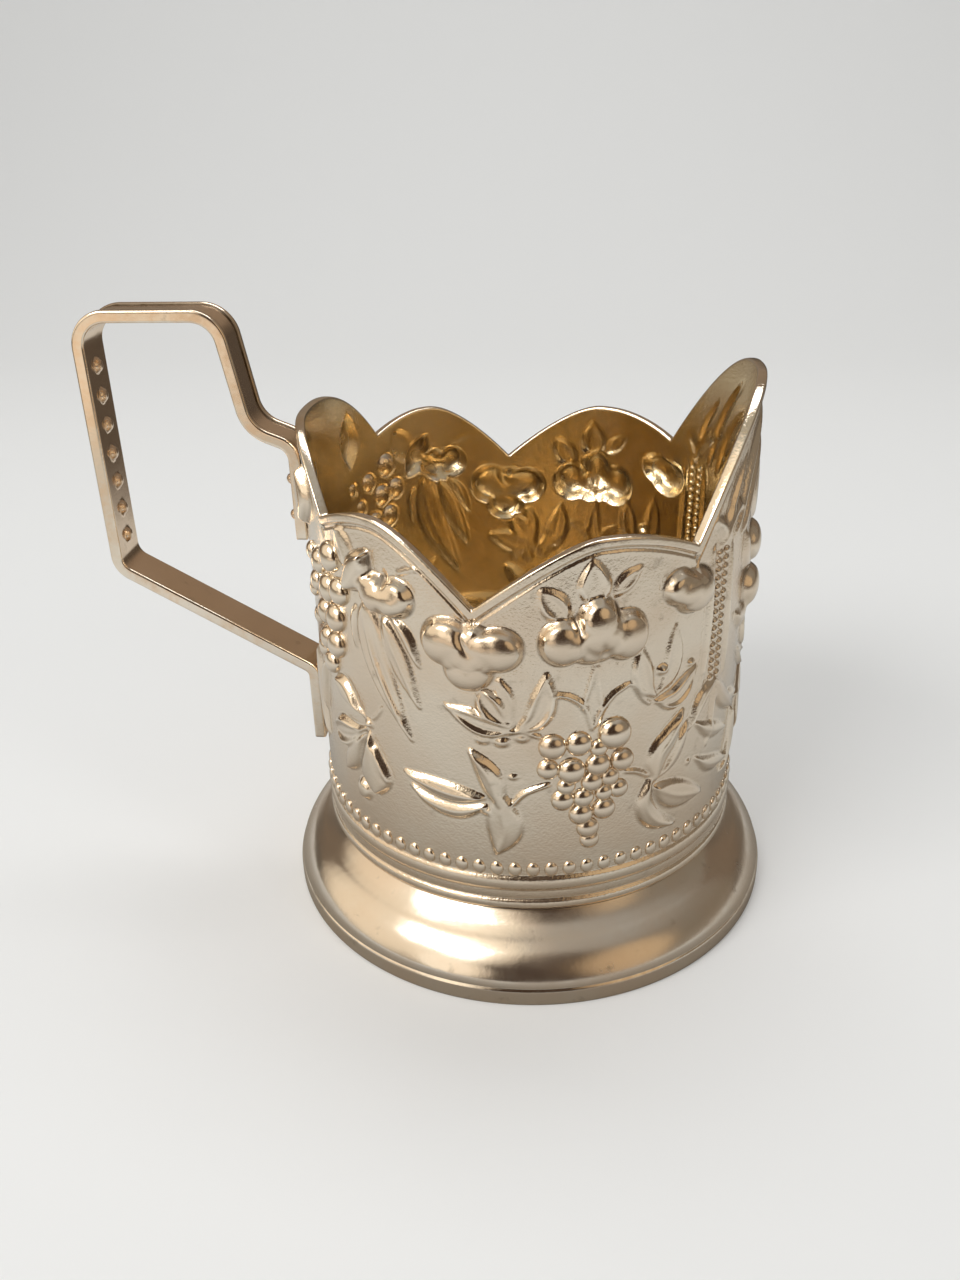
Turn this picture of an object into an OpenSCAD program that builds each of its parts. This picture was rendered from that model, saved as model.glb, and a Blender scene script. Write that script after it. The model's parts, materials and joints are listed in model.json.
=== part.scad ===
// Tea glass holder: an embossed sheet metal sleeve with a scalloped rim on a spun foot,
// a floor plate for the glass and a strap handle. The pieces are soldered together.
// The axis of the sleeve is Z, the foot stands on Z = 0 and the handle points to -X.
// Azimuths run from +X, where the rim is tallest, to 180 degrees at the handle.

/* [Sleeve] */
// Inner diameter of the sleeve, which takes the glass
bore_d = 67; // [60:0.5:80]
// Thickness of the sleeve's sheet
wall = 1; // [0.6:0.1:1.6]
// Height of the plain moulded band below the relief
band_h = 7; // [5:0.5:12]
// Height of the relief's layout, measured up from the plain band
relief_h = 50; // [40:1:70]
// Width of the raised border that follows the rim
border_w = 1.6; // [1:0.1:3]
// Height of that border over the sheet
border_rise = 0.5; // [0.2:0.1:1]
// Radius of the largest fruit
fruit_r = 3.7; // [2.5:0.1:5]
// Radius of the largest grape
grape_r = 2.5; // [1.8:0.1:3.2]
// Height of the leaves and petals over the sheet
leaf_rise = 1; // [0.5:0.1:1.5]
// Radius of the plain band's smaller mouldings
moulding_r = 1; // [0.6:0.1:1.4]

/* [Foot] */
// Largest diameter of the foot
foot_d = 82.6; // [72:0.5:100]
// Height of the foot up to the groove under the sleeve
foot_h = 12.9; // [9:0.5:20]
// Height of the upright lip that the foot stands on
lip_h = 3; // [1.5:0.5:6]
// Thickness of the foot's sheet
foot_wall = 1; // [0.6:0.1:1.6]
// Height of the neck that enters the sleeve
neck_h = 3.2; // [2:0.2:6]
// How far the sleeve's lower end is opened out for the neck and the floor plate
socket_step = 0.4; // [0.35:0.05:0.5]
// Gap between the neck and the sleeve, filled with solder
solder_gap = 0.3; // [0.2:0.05:0.5]

/* [Floor plate] */
// Thickness of the plate that the glass stands on
floor_t = 1; // [0.6:0.1:2]
// Clearance between the edge of the plate and the sleeve
floor_gap = 0.2; // [0.1:0.05:0.4]
// Diameter of the raised middle of the plate
floor_boss_d = 40; // [20:1:50]
// Height of that raised middle
floor_boss_h = 0.6; // [0.3:0.1:1.2]
// Leg length of the solder fillet under the plate
fillet_leg = 0.8; // [0.5:0.1:1.5]

/* [Handle] */
// Width of the handle's strap
strap_w = 7.5; // [5:0.5:14]
// Thickness of the strap
strap_t = 1.6; // [1.6:0.1:2.4]
// Reach of the handle from the sleeve to the outside of the grip
handle_reach = 33.7; // [26:0.5:45]
// Height of the handle's top over the crest behind it
handle_rise = 15.1; // [9:0.1:24]
// Reach of the upper leg's arm before it turns up
shoulder_reach = 8.5; // [6:0.5:12]
// Depth of the shoulder, where the upper arm turns up, below that crest
shoulder_drop = 2.8; // [0:0.1:5]
// Depth of the upper bend, where the arm leaves the sleeve, below that crest
upper_bend_drop = 5.5; // [3.5:0.1:9]
// Length of the upper leg
upper_leg_l = 15; // [9:0.5:20]
// Depth of the grip's lower end below that crest
grip_drop = 26.1; // [20:0.1:31]
// Height of the lower bend over the plain band
lower_bend_rise = 16.7; // [14:0.1:22]
// Length of the lower leg
lower_leg_l = 13.4; // [9:0.5:14]
// Inner radius of the large bends at the grip
grip_bend_r = 3.6; // [2:0.2:6]
// Inner radius of the small bends at the arms
arm_bend_r = 1.6; // [1:0.2:3]
// Height of the raised lines along both edges of the strap
strap_line_h = 0.3; // [0.2:0.1:0.5]
// Width of those lines
strap_line_w = 1; // [0.6:0.1:2]
// Radius of the beads on the strap
stud_r = 1.2; // [0.8:0.1:1.3]
// Spacing of the beads on the grip
stud_pitch = 4.65; // [4.2:0.05:5.2]
// Number of beads on the grip
studs = 7; // [3:1:7]
// Thickness of the solder behind each leg
pad_t = 0.8; // [0.4:0.1:1.2]

/* [Hidden] */
$fn = 60;

// Sizes that follow from the ones above
over = 0.5;
bore_r = bore_d / 2;
sleeve_r = bore_r + wall;
band_z = foot_h + band_h;
socket_r = bore_r + socket_step;
neck_r = socket_r - solder_gap;
neck_top = foot_h + neck_h;
floor_top = neck_top + floor_t;
seat_z = floor_top + floor_boss_h;
leg_x = sleeve_r + pad_t + strap_t / 2;
grip_x = sleeve_r + handle_reach - strap_t / 2;
sleeve_top = band_z + relief_h * 1.5;

// Crests of the rim on one half. A row holds the crest's azimuth and its height as a share of the relief's
// height, then for each side of it the notch's azimuth and height and how full the curve is between them.
crest_shares = [
    [0, 1.352, [-45, 0.982, 2.45], [45, 0.982, 2.45]],
    [69, 1.056, [45, 0.982, 1.9], [99, 0.862, 1.45]],
    [126, 1.074, [99, 0.862, 1.65], [144, 1.018, 1.6]],
    [180, 1.22, [144, 1.018, 3.6], [216, 1.018, 3.6]]
];
rim_steps = 8;
past_notch = 1.15;

// Point of the rim line beside a crest, in the crest's own upright plane, with u from 0 at the crest to 1 at
// the notch
function rim_point(crest, flank, u) = [
    sleeve_r * sin((flank[0] - crest[0]) * u),
    band_z + relief_h * (crest[1] - (crest[1] - flank[1]) * pow(u, flank[2]))
];
function rim_normal(crest, flank, u) =
    let (v = rim_point(crest, flank, u + 0.01) - rim_point(crest, flank, max(u - 0.01, 0)))
    [-v[1], v[0]] / norm(v) * sign(v[0]);
function rim_line(crest, flank, drop) = [for (i = [0 : rim_steps]) let (u = i / rim_steps * past_notch)
    rim_point(crest, flank, u) - rim_normal(crest, flank, u) * drop];
function reverse(list) = [for (i = [len(list) - 1 : -1 : 0]) list[i]];
function tail(list) = [for (i = [1 : len(list) - 1]) list[i]];
seam_top = band_z + relief_h * crest_shares[3][1];
top_z = seam_top + handle_rise - strap_t / 2;
shoulder_z = seam_top - shoulder_drop;
upper_bend_z = seam_top - upper_bend_drop;
grip_bottom_z = seam_top - grip_drop;
lower_bend_z = band_z + lower_bend_rise;

// Relief of one half, mirrored onto the other. Heights are shares of the relief's height.
// A fruit or grape is [azimuth, height, radius as a share of the largest].
fruit_shares = [
    [103.5, 0.79, 0.93], [93.8, 0.77, 0.97], [99, 0.7, 0.93],
    [78.5, 0.785, 1], [72.5, 0.845, 0.9], [63.8, 0.815, 1], [68.5, 0.76, 0.88],
    [122.8, 0.88, 0.9], [116.3, 0.882, 0.9],
    [50.5, 0.872, 0.88], [45.5, 0.848, 0.93],
    [10, 0.72, 1], [0, 0.83, 1]
];
grape_shares = [
    [80.5, 0.46, 0.88], [74.7, 0.46, 0.84], [66.5, 0.484, 1], [69.6, 0.432, 0.7],
    [81.8, 0.384, 0.76], [76.2, 0.38, 0.84], [70.3, 0.384, 0.72], [64, 0.388, 0.8],
    [72, 0.332, 0.72], [66.8, 0.336, 0.7], [79, 0.272, 0.72], [74.8, 0.286, 0.64],
    [70.4, 0.28, 0.64], [64.9, 0.306, 0.68], [74.2, 0.23, 0.72], [68.4, 0.234, 0.72],
    [72.8, 0.176, 0.72], [71.8, 0.128, 0.64],
    [141.5, 0.916, 1], [137.3, 0.82, 0.88], [143.8, 0.804, 0.94], [149, 0.87, 0.88],
    [140.8, 0.726, 0.96], [147, 0.72, 0.88], [141.5, 0.636, 0.88], [147.5, 0.63, 0.84],
    [153, 0.79, 0.88], [152.5, 0.68, 0.84], [157, 0.87, 0.88], [158, 0.75, 0.84],
    [145.5, 0.556, 0.8], [151, 0.58, 0.76]
];

// Leaves and petals by motif: the azimuth that the motif faces, then for each leaf its base, middle and tip and
// its half width as a share of the largest fruit
leaf_shares = [
    [74, [[[77.5, 0.842], [80.5, 0.886], [84.3, 0.934], 0.57],
          [[74, 0.872], [73.8, 0.932], [72.7, 1.006], 0.49],
          [[68, 0.894], [64.6, 0.934], [60.8, 0.97], 0.43]]],
    [92, [[[90, 0.514], [85.4, 0.578], [82.2, 0.694], 0.54],
          [[90.5, 0.518], [94, 0.586], [95.6, 0.67], 0.46],
          [[90.5, 0.51], [97, 0.536], [105.8, 0.574], 0.46]]],
    [103, [[[94, 0.27], [104, 0.266], [118, 0.314], 0.54],
          [[92.5, 0.272], [95, 0.354], [101, 0.438], 0.51],
          [[92.4, 0.282], [91.6, 0.194], [94.6, 0.09], 0.59]]],
    [121, [[[127.4, 0.822], [125.4, 0.634], [114.4, 0.418], 0.86],
          [[121.2, 0.778], [117.2, 0.642], [112, 0.522], 0.54]]],
    [134, [[[130.4, 0.394], [137, 0.366], [147, 0.33], 0.57],
          [[130.6, 0.434], [135.6, 0.482], [142.6, 0.534], 0.62],
          [[131.2, 0.378], [135.6, 0.294], [140.6, 0.194], 0.51],
          [[128.9, 0.406], [127.6, 0.31], [126.8, 0.186], 0.76]]],
    [54, [[[57, 0.554], [60.6, 0.618], [63.4, 0.73], 0.43],
          [[55, 0.554], [55.4, 0.634], [55.6, 0.758], 0.59],
          [[54.6, 0.542], [49, 0.554], [42.4, 0.614], 0.49]]],
    [48, [[[56.6, 0.278], [53, 0.39], [46.8, 0.494], 0.54],
          [[56, 0.282], [47.6, 0.25], [37.6, 0.186], 0.54],
          [[56.6, 0.294], [56, 0.162], [43.6, 0.078], 0.51]]],
    [30, [[[39, 0.502], [38.6, 0.722], [38.5, 0.932], 0.32],
          [[28.6, 0.502], [29.1, 0.722], [29.3, 0.932], 0.32],
          [[28, 0.942], [21.6, 1.122], [9, 1.274], 0.32],
          [[33.8, 0.518], [29, 0.434], [20, 0.334], 0.46]]],
    [10, [[[11, 0.674], [17, 0.634], [23.4, 0.674], 0.49],
          [[1.6, 0.454], [5.8, 0.51], [8.4, 0.614], 0.51],
          [[1.6, 0.394], [7.6, 0.334], [15.8, 0.346], 0.49]]],
    [156, [[[160, 0.522], [161, 0.362], [155, 0.214], 0.59]]]
];
leaf_steps = 4;

module sleeve() {
    color([0.86, 0.80, 0.68])
    difference() {
        intersection() {
            union() {
                sleeve_wall();
                rim_border();
                leaves();
                relief();
            }
            below_rim(0);
        }
        translate([0, 0, foot_h - over])
            cylinder(r = bore_r, h = sleeve_top);
        translate([0, 0, foot_h - over])
            cylinder(r = socket_r, h = seat_z - foot_h + over);
        relief_hollows();
        seam();
    }
}

// The sheet with the plain band's two mouldings and the fine edge over them
module sleeve_wall() {
    rotate_extrude()
        union() {
            translate([bore_r - over, foot_h])
                square([wall + over, sleeve_top]);
            translate([sleeve_r - moulding_r * 0.55, foot_h + band_h * 0.27])
                circle(r = moulding_r * 0.9);
            translate([sleeve_r - moulding_r * 0.75, foot_h + band_h * 0.66])
                circle(r = moulding_r * 1.2);
            translate([sleeve_r - over, band_z - moulding_r * 0.4])
                square([over + moulding_r * 0.25, moulding_r * 0.4]);
        }
}

// Everything below the scalloped line, or below a line that lies lower by drop
module below_rim(drop) {
    for (crest = crest_shares)
        for (side = crest[0] % 180 == 0 ? [1] : [-1, 1])
            rotate([0, 0, side * crest[0]])
                translate([bore_r / 2, 0, 0])
                    rotate([90, 0, 90])
                        linear_extrude(height = sleeve_r)
                            mirror([side < 0 ? 1 : 0, 0])
                                crest_outline(crest, drop);
}

module crest_outline(crest, drop) {
    before = rim_line(crest, crest[2], drop);
    after = rim_line(crest, crest[3], drop);
    last = len(after) - 1;
    polygon(concat([[before[last][0], 0]], reverse(before), tail(after), [[after[last][0], 0]]));
}

module rim_border() {
    difference() {
        rotate_extrude()
            translate([bore_r, band_z])
                square([wall + border_rise, sleeve_top]);
        below_rim(border_w);
    }
}

// Points of a leaf in the upright plane that faces azimuth. Its middle line bends through three points.
function leaf_point(azimuth, spot) = [
    sleeve_r * sin(spot[0] - azimuth), band_z + relief_h * spot[1]
];
function bend(a, b, c, u) = a * (1 - u) * (1 - 2 * u) + b * 4 * u * (1 - u) + c * u * (2 * u - 1);
function leaf_side(azimuth, leaf, side) =
    let (a = leaf_point(azimuth, leaf[0]), b = leaf_point(azimuth, leaf[1]), c = leaf_point(azimuth, leaf[2]))
    [for (i = [1 : leaf_steps - 1]) let (u = i / leaf_steps, v = bend(a, b, c, u + 0.01) - bend(a, b, c, u))
        bend(a, b, c, u) + [-v[1], v[0]] / norm(v) * side * fruit_r * leaf[3] * sin(180 * u)];
function leaf_outline(azimuth, leaf) = concat(
    [leaf_point(azimuth, leaf[0])], leaf_side(azimuth, leaf, 1),
    [leaf_point(azimuth, leaf[2])], reverse(leaf_side(azimuth, leaf, -1)));

module leaves() {
    intersection() {
        rotate_extrude()
            translate([bore_r, band_z])
                square([wall + leaf_rise, sleeve_top]);
        for (side = [-1, 1])
            for (motif = leaf_shares)
                rotate([0, 0, side * motif[0]])
                    translate([bore_r / 2, 0, 0])
                        rotate([90, 0, 90])
                            linear_extrude(height = sleeve_r)
                                mirror([side < 0 ? 1 : 0, 0])
                                    for (leaf = motif[1])
                                        polygon(leaf_outline(motif[0], leaf));
    }
}

// Fruit and grapes stand out of the sheet, and the fruit is hollow behind
module relief() {
    for (side = [-1, 1]) {
        for (f = fruit_shares)
            ball(side * f[0], f[1], f[2] * fruit_r, 0);
        for (g = grape_shares)
            ball(side * g[0], g[1], g[2] * grape_r, 0);
    }
}

module relief_hollows() {
    for (side = [-1, 1])
        for (f = fruit_shares)
            ball(side * f[0], f[1], f[2] * fruit_r, wall);
}

module ball(azimuth, height, r, inset) {
    rotate([0, 0, azimuth])
        translate([sleeve_r - r * 0.35, 0, band_z + relief_h * height])
            sphere(r = r - inset);
}

// The butted seam of the rolled sheet, behind the handle's legs
module seam() {
    translate([-sleeve_r - over, -solder_gap / 2, foot_h - over])
        cube([wall + 2 * over, solder_gap, sleeve_top]);
}

module seam_solder() {
    color([0.72, 0.70, 0.66])
    intersection() {
        rotate_extrude()
            polygon([[socket_r, foot_h], [sleeve_r, foot_h], [sleeve_r, seam_top - border_w],
                     [bore_r, seam_top - border_w], [bore_r, seat_z], [socket_r, seat_z]]);
        seam();
    }
}

// The spun foot: lip, rounded shoulder, hollow flare, groove and neck, in one thickness
module foot() {
    color([0.86, 0.80, 0.68])
    rotate_extrude()
        polygon(concat(foot_outline(0), reverse(foot_outline(foot_wall))));
}

foot_r = foot_d / 2;
flare_r = foot_r - neck_r;
flare_h = foot_h - lip_h;
shoulder_share = 0.52;
shoulder_steps = 8;

// Outline from the table to the top of the neck, moved inwards by t. The shoulder is a quarter of an ellipse
// and the flare above it another that turns the other way.
function foot_outline(t) = concat(
    [[foot_r - t, 0], [foot_r - t, lip_h - t / 2]],
    [for (i = [1 : shoulder_steps]) let (u = 90 * i / shoulder_steps)
        [foot_r - t - flare_r * shoulder_share * (1 - cos(u)),
         lip_h - t / 2 + flare_h * (1 - shoulder_share) * sin(u)]],
    [for (i = [1 : shoulder_steps]) let (u = 90 * i / shoulder_steps)
        [foot_r - t - flare_r * (shoulder_share + (1 - shoulder_share) * sin(u)),
         lip_h - t / 2 + flare_h * (1 - shoulder_share) + flare_h * shoulder_share * (1 - cos(u))]],
    [[neck_r - t, neck_top]]);

module foot_solder() {
    color([0.72, 0.70, 0.66])
    rotate_extrude()
        translate([neck_r, foot_h])
            square([solder_gap, neck_h]);
}

module floor_plate() {
    color([0.80, 0.70, 0.50])
    union() {
        translate([0, 0, neck_top])
            cylinder(r = socket_r - floor_gap, h = floor_t);
        translate([0, 0, floor_top])
            cylinder(r1 = floor_boss_d / 2, r2 = floor_boss_d / 2 - floor_boss_h, h = floor_boss_h);
    }
}

module floor_solder() {
    color([0.72, 0.70, 0.66])
    rotate_extrude()
        polygon([[neck_r - foot_wall, neck_top], [neck_r - foot_wall - fillet_leg, neck_top],
                 [neck_r - foot_wall, neck_top - fillet_leg]]);
}

// Corners of the strap's middle line as [x, z, inner radius of the bend], from the end of the upper leg
strap_path = [
    [-leg_x, upper_bend_z - upper_leg_l, 0],
    [-leg_x, upper_bend_z, arm_bend_r],
    [-sleeve_r - shoulder_reach, shoulder_z, arm_bend_r * 1.6],
    [-sleeve_r - shoulder_reach * 1.36, top_z, grip_bend_r * 0.8],
    [-grip_x, top_z, grip_bend_r],
    [-grip_x, grip_bottom_z, grip_bend_r * 0.7],
    [-leg_x, lower_bend_z, arm_bend_r],
    [-leg_x, lower_bend_z - lower_leg_l, 0]
];

bend_steps = 8;
grip_studs = [for (i = [0 : studs - 1])
    (top_z + grip_bottom_z) / 2 - stud_pitch / 3 + stud_pitch * (i - (studs - 1) / 2)];
leg_studs = [for (k = [0.4, 0.8]) upper_bend_z - upper_leg_l * k, for (k = [0.45, 0.87])
    lower_bend_z - lower_leg_l * k];

module handle() {
    color([0.85, 0.72, 0.52])
    difference() {
        union() {
            strap(strap_t / 2, -strap_t / 2, strap_w, 0);
            for (side = [-1, 1])
                strap(0, -strap_t / 2 - strap_line_h, strap_line_w, side * (strap_w - strap_line_w) / 2);
            handle_studs();
        }
        stud_hollows();
    }
}

// A band between two lines that run beside the strap's middle line, to its left by from and by to
module strap(from, to, width, shift) {
    translate([0, shift, 0])
        rotate([90, 0, 0])
            linear_extrude(height = width, center = true)
                polygon(concat(side_line(from), reverse(side_line(to))));
}

function unit(v) = v / norm(v);
function left(v) = [-v[1], v[0]];
function corner(i) = [strap_path[i][0], strap_path[i][1]];
function heading(i) = unit(corner(i + 1) - corner(i));
function turn_side(i) = sign(heading(i - 1) * -left(heading(i)));
function turn_angle(i) = acos(heading(i - 1) * heading(i));
function bend_r(i) = strap_path[i][2] + strap_t / 2;
function bend_start(i) = corner(i) - heading(i - 1) * bend_r(i) * tan(turn_angle(i) / 2);
function bend_centre(i) = bend_start(i) + left(heading(i - 1)) * bend_r(i) * turn_side(i);
function bend_point(i, offset, u) =
    let (v = bend_start(i) - bend_centre(i), a = atan2(v[1], v[0]) + turn_side(i) * turn_angle(i) * u)
    bend_centre(i) + [cos(a), sin(a)] * (bend_r(i) - turn_side(i) * offset);
function side_line(offset) = let (last = len(strap_path) - 1) concat(
    [corner(0) + left(heading(0)) * offset],
    [for (i = [1 : last - 1]) for (k = [0 : bend_steps]) bend_point(i, offset, k / bend_steps)],
    [corner(last) + left(heading(last - 1)) * offset]);

// Beads pressed through the strap: on the grip, where their hollows show inside, and on both legs
module handle_studs() {
    for (z = grip_studs)
        stud(grip_x, z);
    for (z = leg_studs)
        stud(leg_x, z);
}

module stud(x, z) {
    translate([-x - strap_t / 2 + stud_r * 0.15, 0, z])
        sphere(r = stud_r);
}

module stud_hollows() {
    for (z = grip_studs)
        translate([-grip_x + strap_t / 2, 0, z])
            sphere(r = stud_r * 0.65);
}

module leg_solder(z, length) {
    color([0.72, 0.70, 0.66])
    difference() {
        translate([-sleeve_r - pad_t, -strap_w / 2 + strap_line_w, z + strap_t])
            cube([pad_t + over, strap_w - 2 * strap_line_w, length - 3 * strap_t]);
        cylinder(r = sleeve_r, h = sleeve_top, $fn = 240);
    }
}

module upper_leg_solder() {
    leg_solder(upper_bend_z - upper_leg_l, upper_leg_l);
}

module lower_leg_solder() {
    leg_solder(lower_bend_z - lower_leg_l, lower_leg_l);
}

sleeve();
foot();
floor_plate();
handle();
seam_solder();
foot_solder();
floor_solder();
upper_leg_solder();
lower_leg_solder();
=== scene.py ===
"""Tea glass holder: an embossed sleeve with a scalloped rim on a spun foot, with a strap handle."""

import json
import math

import bmesh
import bpy
import numpy as np
from bpy.props import FloatProperty, FloatVectorProperty, IntProperty, PointerProperty
from bpy.types import Operator, Panel, PropertyGroup
from mathutils import Matrix, Vector


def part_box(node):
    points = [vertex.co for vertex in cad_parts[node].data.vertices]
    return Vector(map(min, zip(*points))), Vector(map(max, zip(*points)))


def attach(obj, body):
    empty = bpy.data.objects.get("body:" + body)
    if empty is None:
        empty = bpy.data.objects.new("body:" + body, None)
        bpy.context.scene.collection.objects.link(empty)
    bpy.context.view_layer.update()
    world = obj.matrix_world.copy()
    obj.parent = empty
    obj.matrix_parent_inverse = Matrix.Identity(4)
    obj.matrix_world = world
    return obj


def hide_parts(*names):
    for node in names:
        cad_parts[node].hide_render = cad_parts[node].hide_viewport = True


bl_info = {
    "name": "Tea Glass Holder",
    "version": (1, 0, 0),
    "blender": (4, 5, 0),
    "location": "View3D > Sidebar > Tea Glass Holder",
    "description": "Builds the finish and the relief of a metal tea glass holder around its frame",
    "category": "Add Mesh",
}

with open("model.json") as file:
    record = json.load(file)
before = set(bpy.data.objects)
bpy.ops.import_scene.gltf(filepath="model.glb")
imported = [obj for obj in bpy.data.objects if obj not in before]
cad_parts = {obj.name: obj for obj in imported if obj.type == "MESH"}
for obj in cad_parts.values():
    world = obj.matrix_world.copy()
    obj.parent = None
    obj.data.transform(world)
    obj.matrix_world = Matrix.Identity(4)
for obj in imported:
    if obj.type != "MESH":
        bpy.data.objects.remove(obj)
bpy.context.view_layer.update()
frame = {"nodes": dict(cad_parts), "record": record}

# Lengths in this file's tables are millimetres, and azimuths are degrees from the tall crest at +X
MM = 0.001


def top_mm(node):
    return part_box(node)[1].z / MM


def bottom_mm(node):
    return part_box(node)[0].z / MM


def mount_radius_mm(name):
    """Radius of a bore that the record states."""
    return next(m["dims"]["r_mm"] for m in frame["record"]["mounts"] if m["name"] == name)


def colour_property(name, description, default):
    return FloatVectorProperty(
        name=name, description=description, default=default, size=3, min=0, max=1, subtype="COLOR")


def length_property(name, description, default):
    return FloatProperty(
        name=name, description=description, default=default * MM, min=0, unit="LENGTH", subtype="DISTANCE")


class SleeveSizes(PropertyGroup):
    bore: length_property("Bore radius", "Inner radius of the sleeve", mount_radius_mm("glass_seat"))
    wall: length_property("Wall", "Thickness of the sleeve's sheet", 1.0)
    border: length_property("Border width", "Width of the raised border along the rim", 1.45)
    border_rise: length_property("Border rise", "Height of that border over the sheet", 0.45)
    bead_height: length_property("Bead row height", "Height of the row of beads over the table", 20.5)
    bead_width: length_property("Bead width", "Width of one bead of the row", 2.1)
    beads: IntProperty(name="Beads", description="Number of beads in the row", default=80, min=12)


class StrapSizes(PropertyGroup):
    width: length_property("Strap width", "Width of the handle's strap", 7.5)
    thickness: length_property("Strap thickness", "Thickness of the handle's strap", 1.6)
    line_width: length_property("Line width", "Width of the raised lines along the strap's edges", 1.0)
    line_rise: length_property("Line rise", "Height of those lines", 0.3)
    stud: length_property("Stud radius", "Radius of the beads pressed through the strap", 1.15)
    stud_pitch: length_property("Stud spacing", "Spacing of the beads on the grip", 4.65)
    studs: IntProperty(name="Studs", description="Number of beads on the grip", default=7, min=1)


class FinishColours(PropertyGroup):
    silver: colour_property("Silver gilt", "Plating of the sleeve's outside", (0.83, 0.745, 0.62))
    gold: colour_property("Gold", "Plating of the sleeve's inside", (0.86, 0.72, 0.46))
    foot: colour_property("Foot", "Plating of the foot", (0.80, 0.735, 0.64))
    strap: colour_property("Strap", "Plating of the handle", (0.89, 0.73, 0.56))
    # This dark colour is tarnish, and in the sleeve's recesses it is also painted shade
    tarnish_and_shade: colour_property("Tarnish", "Dark tarnish in the recesses", (0.10, 0.065, 0.035))
    worn: colour_property("Worn metal", "Bare metal on the worn crests", (0.90, 0.82, 0.70))
    solder: colour_property("Solder", "Soft solder in the joints", (0.42, 0.40, 0.36))
    ground: colour_property("Floor", "Pale floor and backdrop", (0.80, 0.80, 0.79))


def settings():
    scene = bpy.context.scene
    return scene.holder_sleeve, scene.holder_strap, scene.holder_finish


# Rim of one half. Each crest has its azimuth and height, then for each flank the notch's azimuth and height
# and how full the curve between them is
CRESTS = (
    (0, 87.5, (-45, 69.0, 2.45), (45, 69.0, 2.45)),
    (69, 72.7, (45, 69.0, 1.9), (99, 63.0, 1.45)),
    (126, 73.6, (99, 63.0, 1.65), (144, 70.8, 1.6)),
    (180, 80.9, (144, 70.8, 3.6), (216, 70.8, 3.6)),
)
# Share of a flank over which its crest is rounded, and how strongly its fullness counts
CREST_EASE = 0.12
FULLNESS_POWER = 0.8


def rim_height(azimuth):
    """Height of the rim over the table at azimuths from 0 to 180 degrees."""
    height = np.zeros_like(azimuth)
    for crest, top, before, after in CRESTS:
        for notch, low, fullness in (before, after):
            share = np.clip((azimuth - crest) / (notch - crest), 0, None)
            inside = (share <= 1) & ((azimuth - crest) * (notch - crest) >= 0)
            eased = (np.hypot(share, CREST_EASE) - CREST_EASE) / (math.hypot(1, CREST_EASE) - CREST_EASE)
            height = np.where(inside, top - (top - low) * eased ** (fullness ** FULLNESS_POWER), height)
    return height


# Mouldings of the plain band below the beads: height over the table, rise and half width
MOULDINGS = ((17.95, 0.5, 1.25), (16.0, 0.12, 0.8), (14.05, 0.48, 0.95))

# Fruit in the order they overlap: azimuth, height, half width, half height and rise. Lobes of one fruit run
# together over the blend's reach
FRUIT = (
    (123.9, 62.9, 2.9, 2.9, 2.0), (117.6, 62.9, 2.8, 2.9, 2.0), (120.7, 62.0, 3.4, 2.4, 1.9),
    (99.4, 57.6, 3.2, 3.4, 1.9), (105.2, 57.8, 3.8, 3.7, 2.2), (93.6, 57.2, 3.7, 3.4, 2.2),
    (100.2, 54.0, 3.6, 3.4, 2.0),
    (72.0, 57.8, 4.4, 3.1, 1.7), (79.0, 58.3, 3.3, 3.6, 2.2), (64.2, 58.4, 3.4, 3.8, 2.2),
    (71.0, 60.6, 3.1, 4.1, 2.4),
    (50.0, 63.4, 2.9, 2.7, 1.8), (45.2, 62.1, 3.9, 3.3, 2.1),
    (10.2, 55.4, 3.7, 3.6, 2.2), (0.0, 60.2, 3.8, 3.8, 2.3),
)
FRUIT_BLEND = 1.5

# Small domes, such as buds and seeds
BUDS = (
    (133.6, 27.6, 1.8, 2.0, 1.0), (129.6, 40.4, 0.9, 0.9, 0.8),
    (90.2, 37.0, 0.9, 0.5, 0.6), (96.8, 30.9, 0.9, 0.8, 0.45),
    (97.2, 43.0, 1.4, 0.9, 0.45), (92.8, 42.8, 1.3, 1.0, 0.5), (88.0, 43.6, 1.3, 0.9, 0.45),
    (53.8, 51.4, 1.0, 0.9, 0.8), (44.4, 50.7, 0.9, 0.6, 0.7), (42.6, 33.4, 0.6, 0.6, 0.5),
)

# The plum and the egg lie along a line: the line, half width and rise
LONG_FRUIT = (
    (((133.6, 61.9), (130.4, 64.2), (126.0, 68.6)), 2.5, 1.9),
    (((157.5, 67.0), (157.0, 71.5), (157.0, 76.0)), 2.6, 1.7),
)

# Grapes in front and beside the handle: azimuth, height and radius
GRAPES = (
    (81.0, 42.0, 2.05), (74.7, 42.2, 1.95), (66.0, 43.1, 2.55), (69.9, 41.1, 1.4),
    (82.0, 38.3, 1.65), (76.4, 37.8, 2.1), (70.0, 38.4, 1.9), (63.8, 38.4, 1.85),
    (71.4, 35.6, 1.7), (66.9, 35.9, 1.5), (78.4, 32.9, 1.75), (73.4, 33.0, 1.65),
    (68.3, 33.4, 1.4), (64.5, 33.6, 1.55), (73.9, 30.2, 1.85), (68.2, 30.6, 1.85),
    (72.1, 27.6, 1.75), (71.6, 25.4, 1.5), (77.6, 35.2, 1.4),
    (141.5, 65.0, 2.4), (138.2, 60.2, 2.2), (143.8, 59.6, 2.3), (149.0, 62.8, 2.0),
    (141.0, 55.4, 2.3), (147.0, 55.2, 2.1), (141.8, 50.8, 2.2), (147.5, 50.6, 1.9),
    (153.0, 58.8, 1.7), (152.5, 53.2, 1.6), (156.5, 62.8, 1.5), (157.0, 56.6, 1.4),
    (145.5, 47.0, 1.9), (151.0, 48.2, 1.6),
)
# Width and depth of the hollow behind a grape, as shares of its radius
GRAPE_HOLLOW = (0.9, 0.5)

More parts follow.
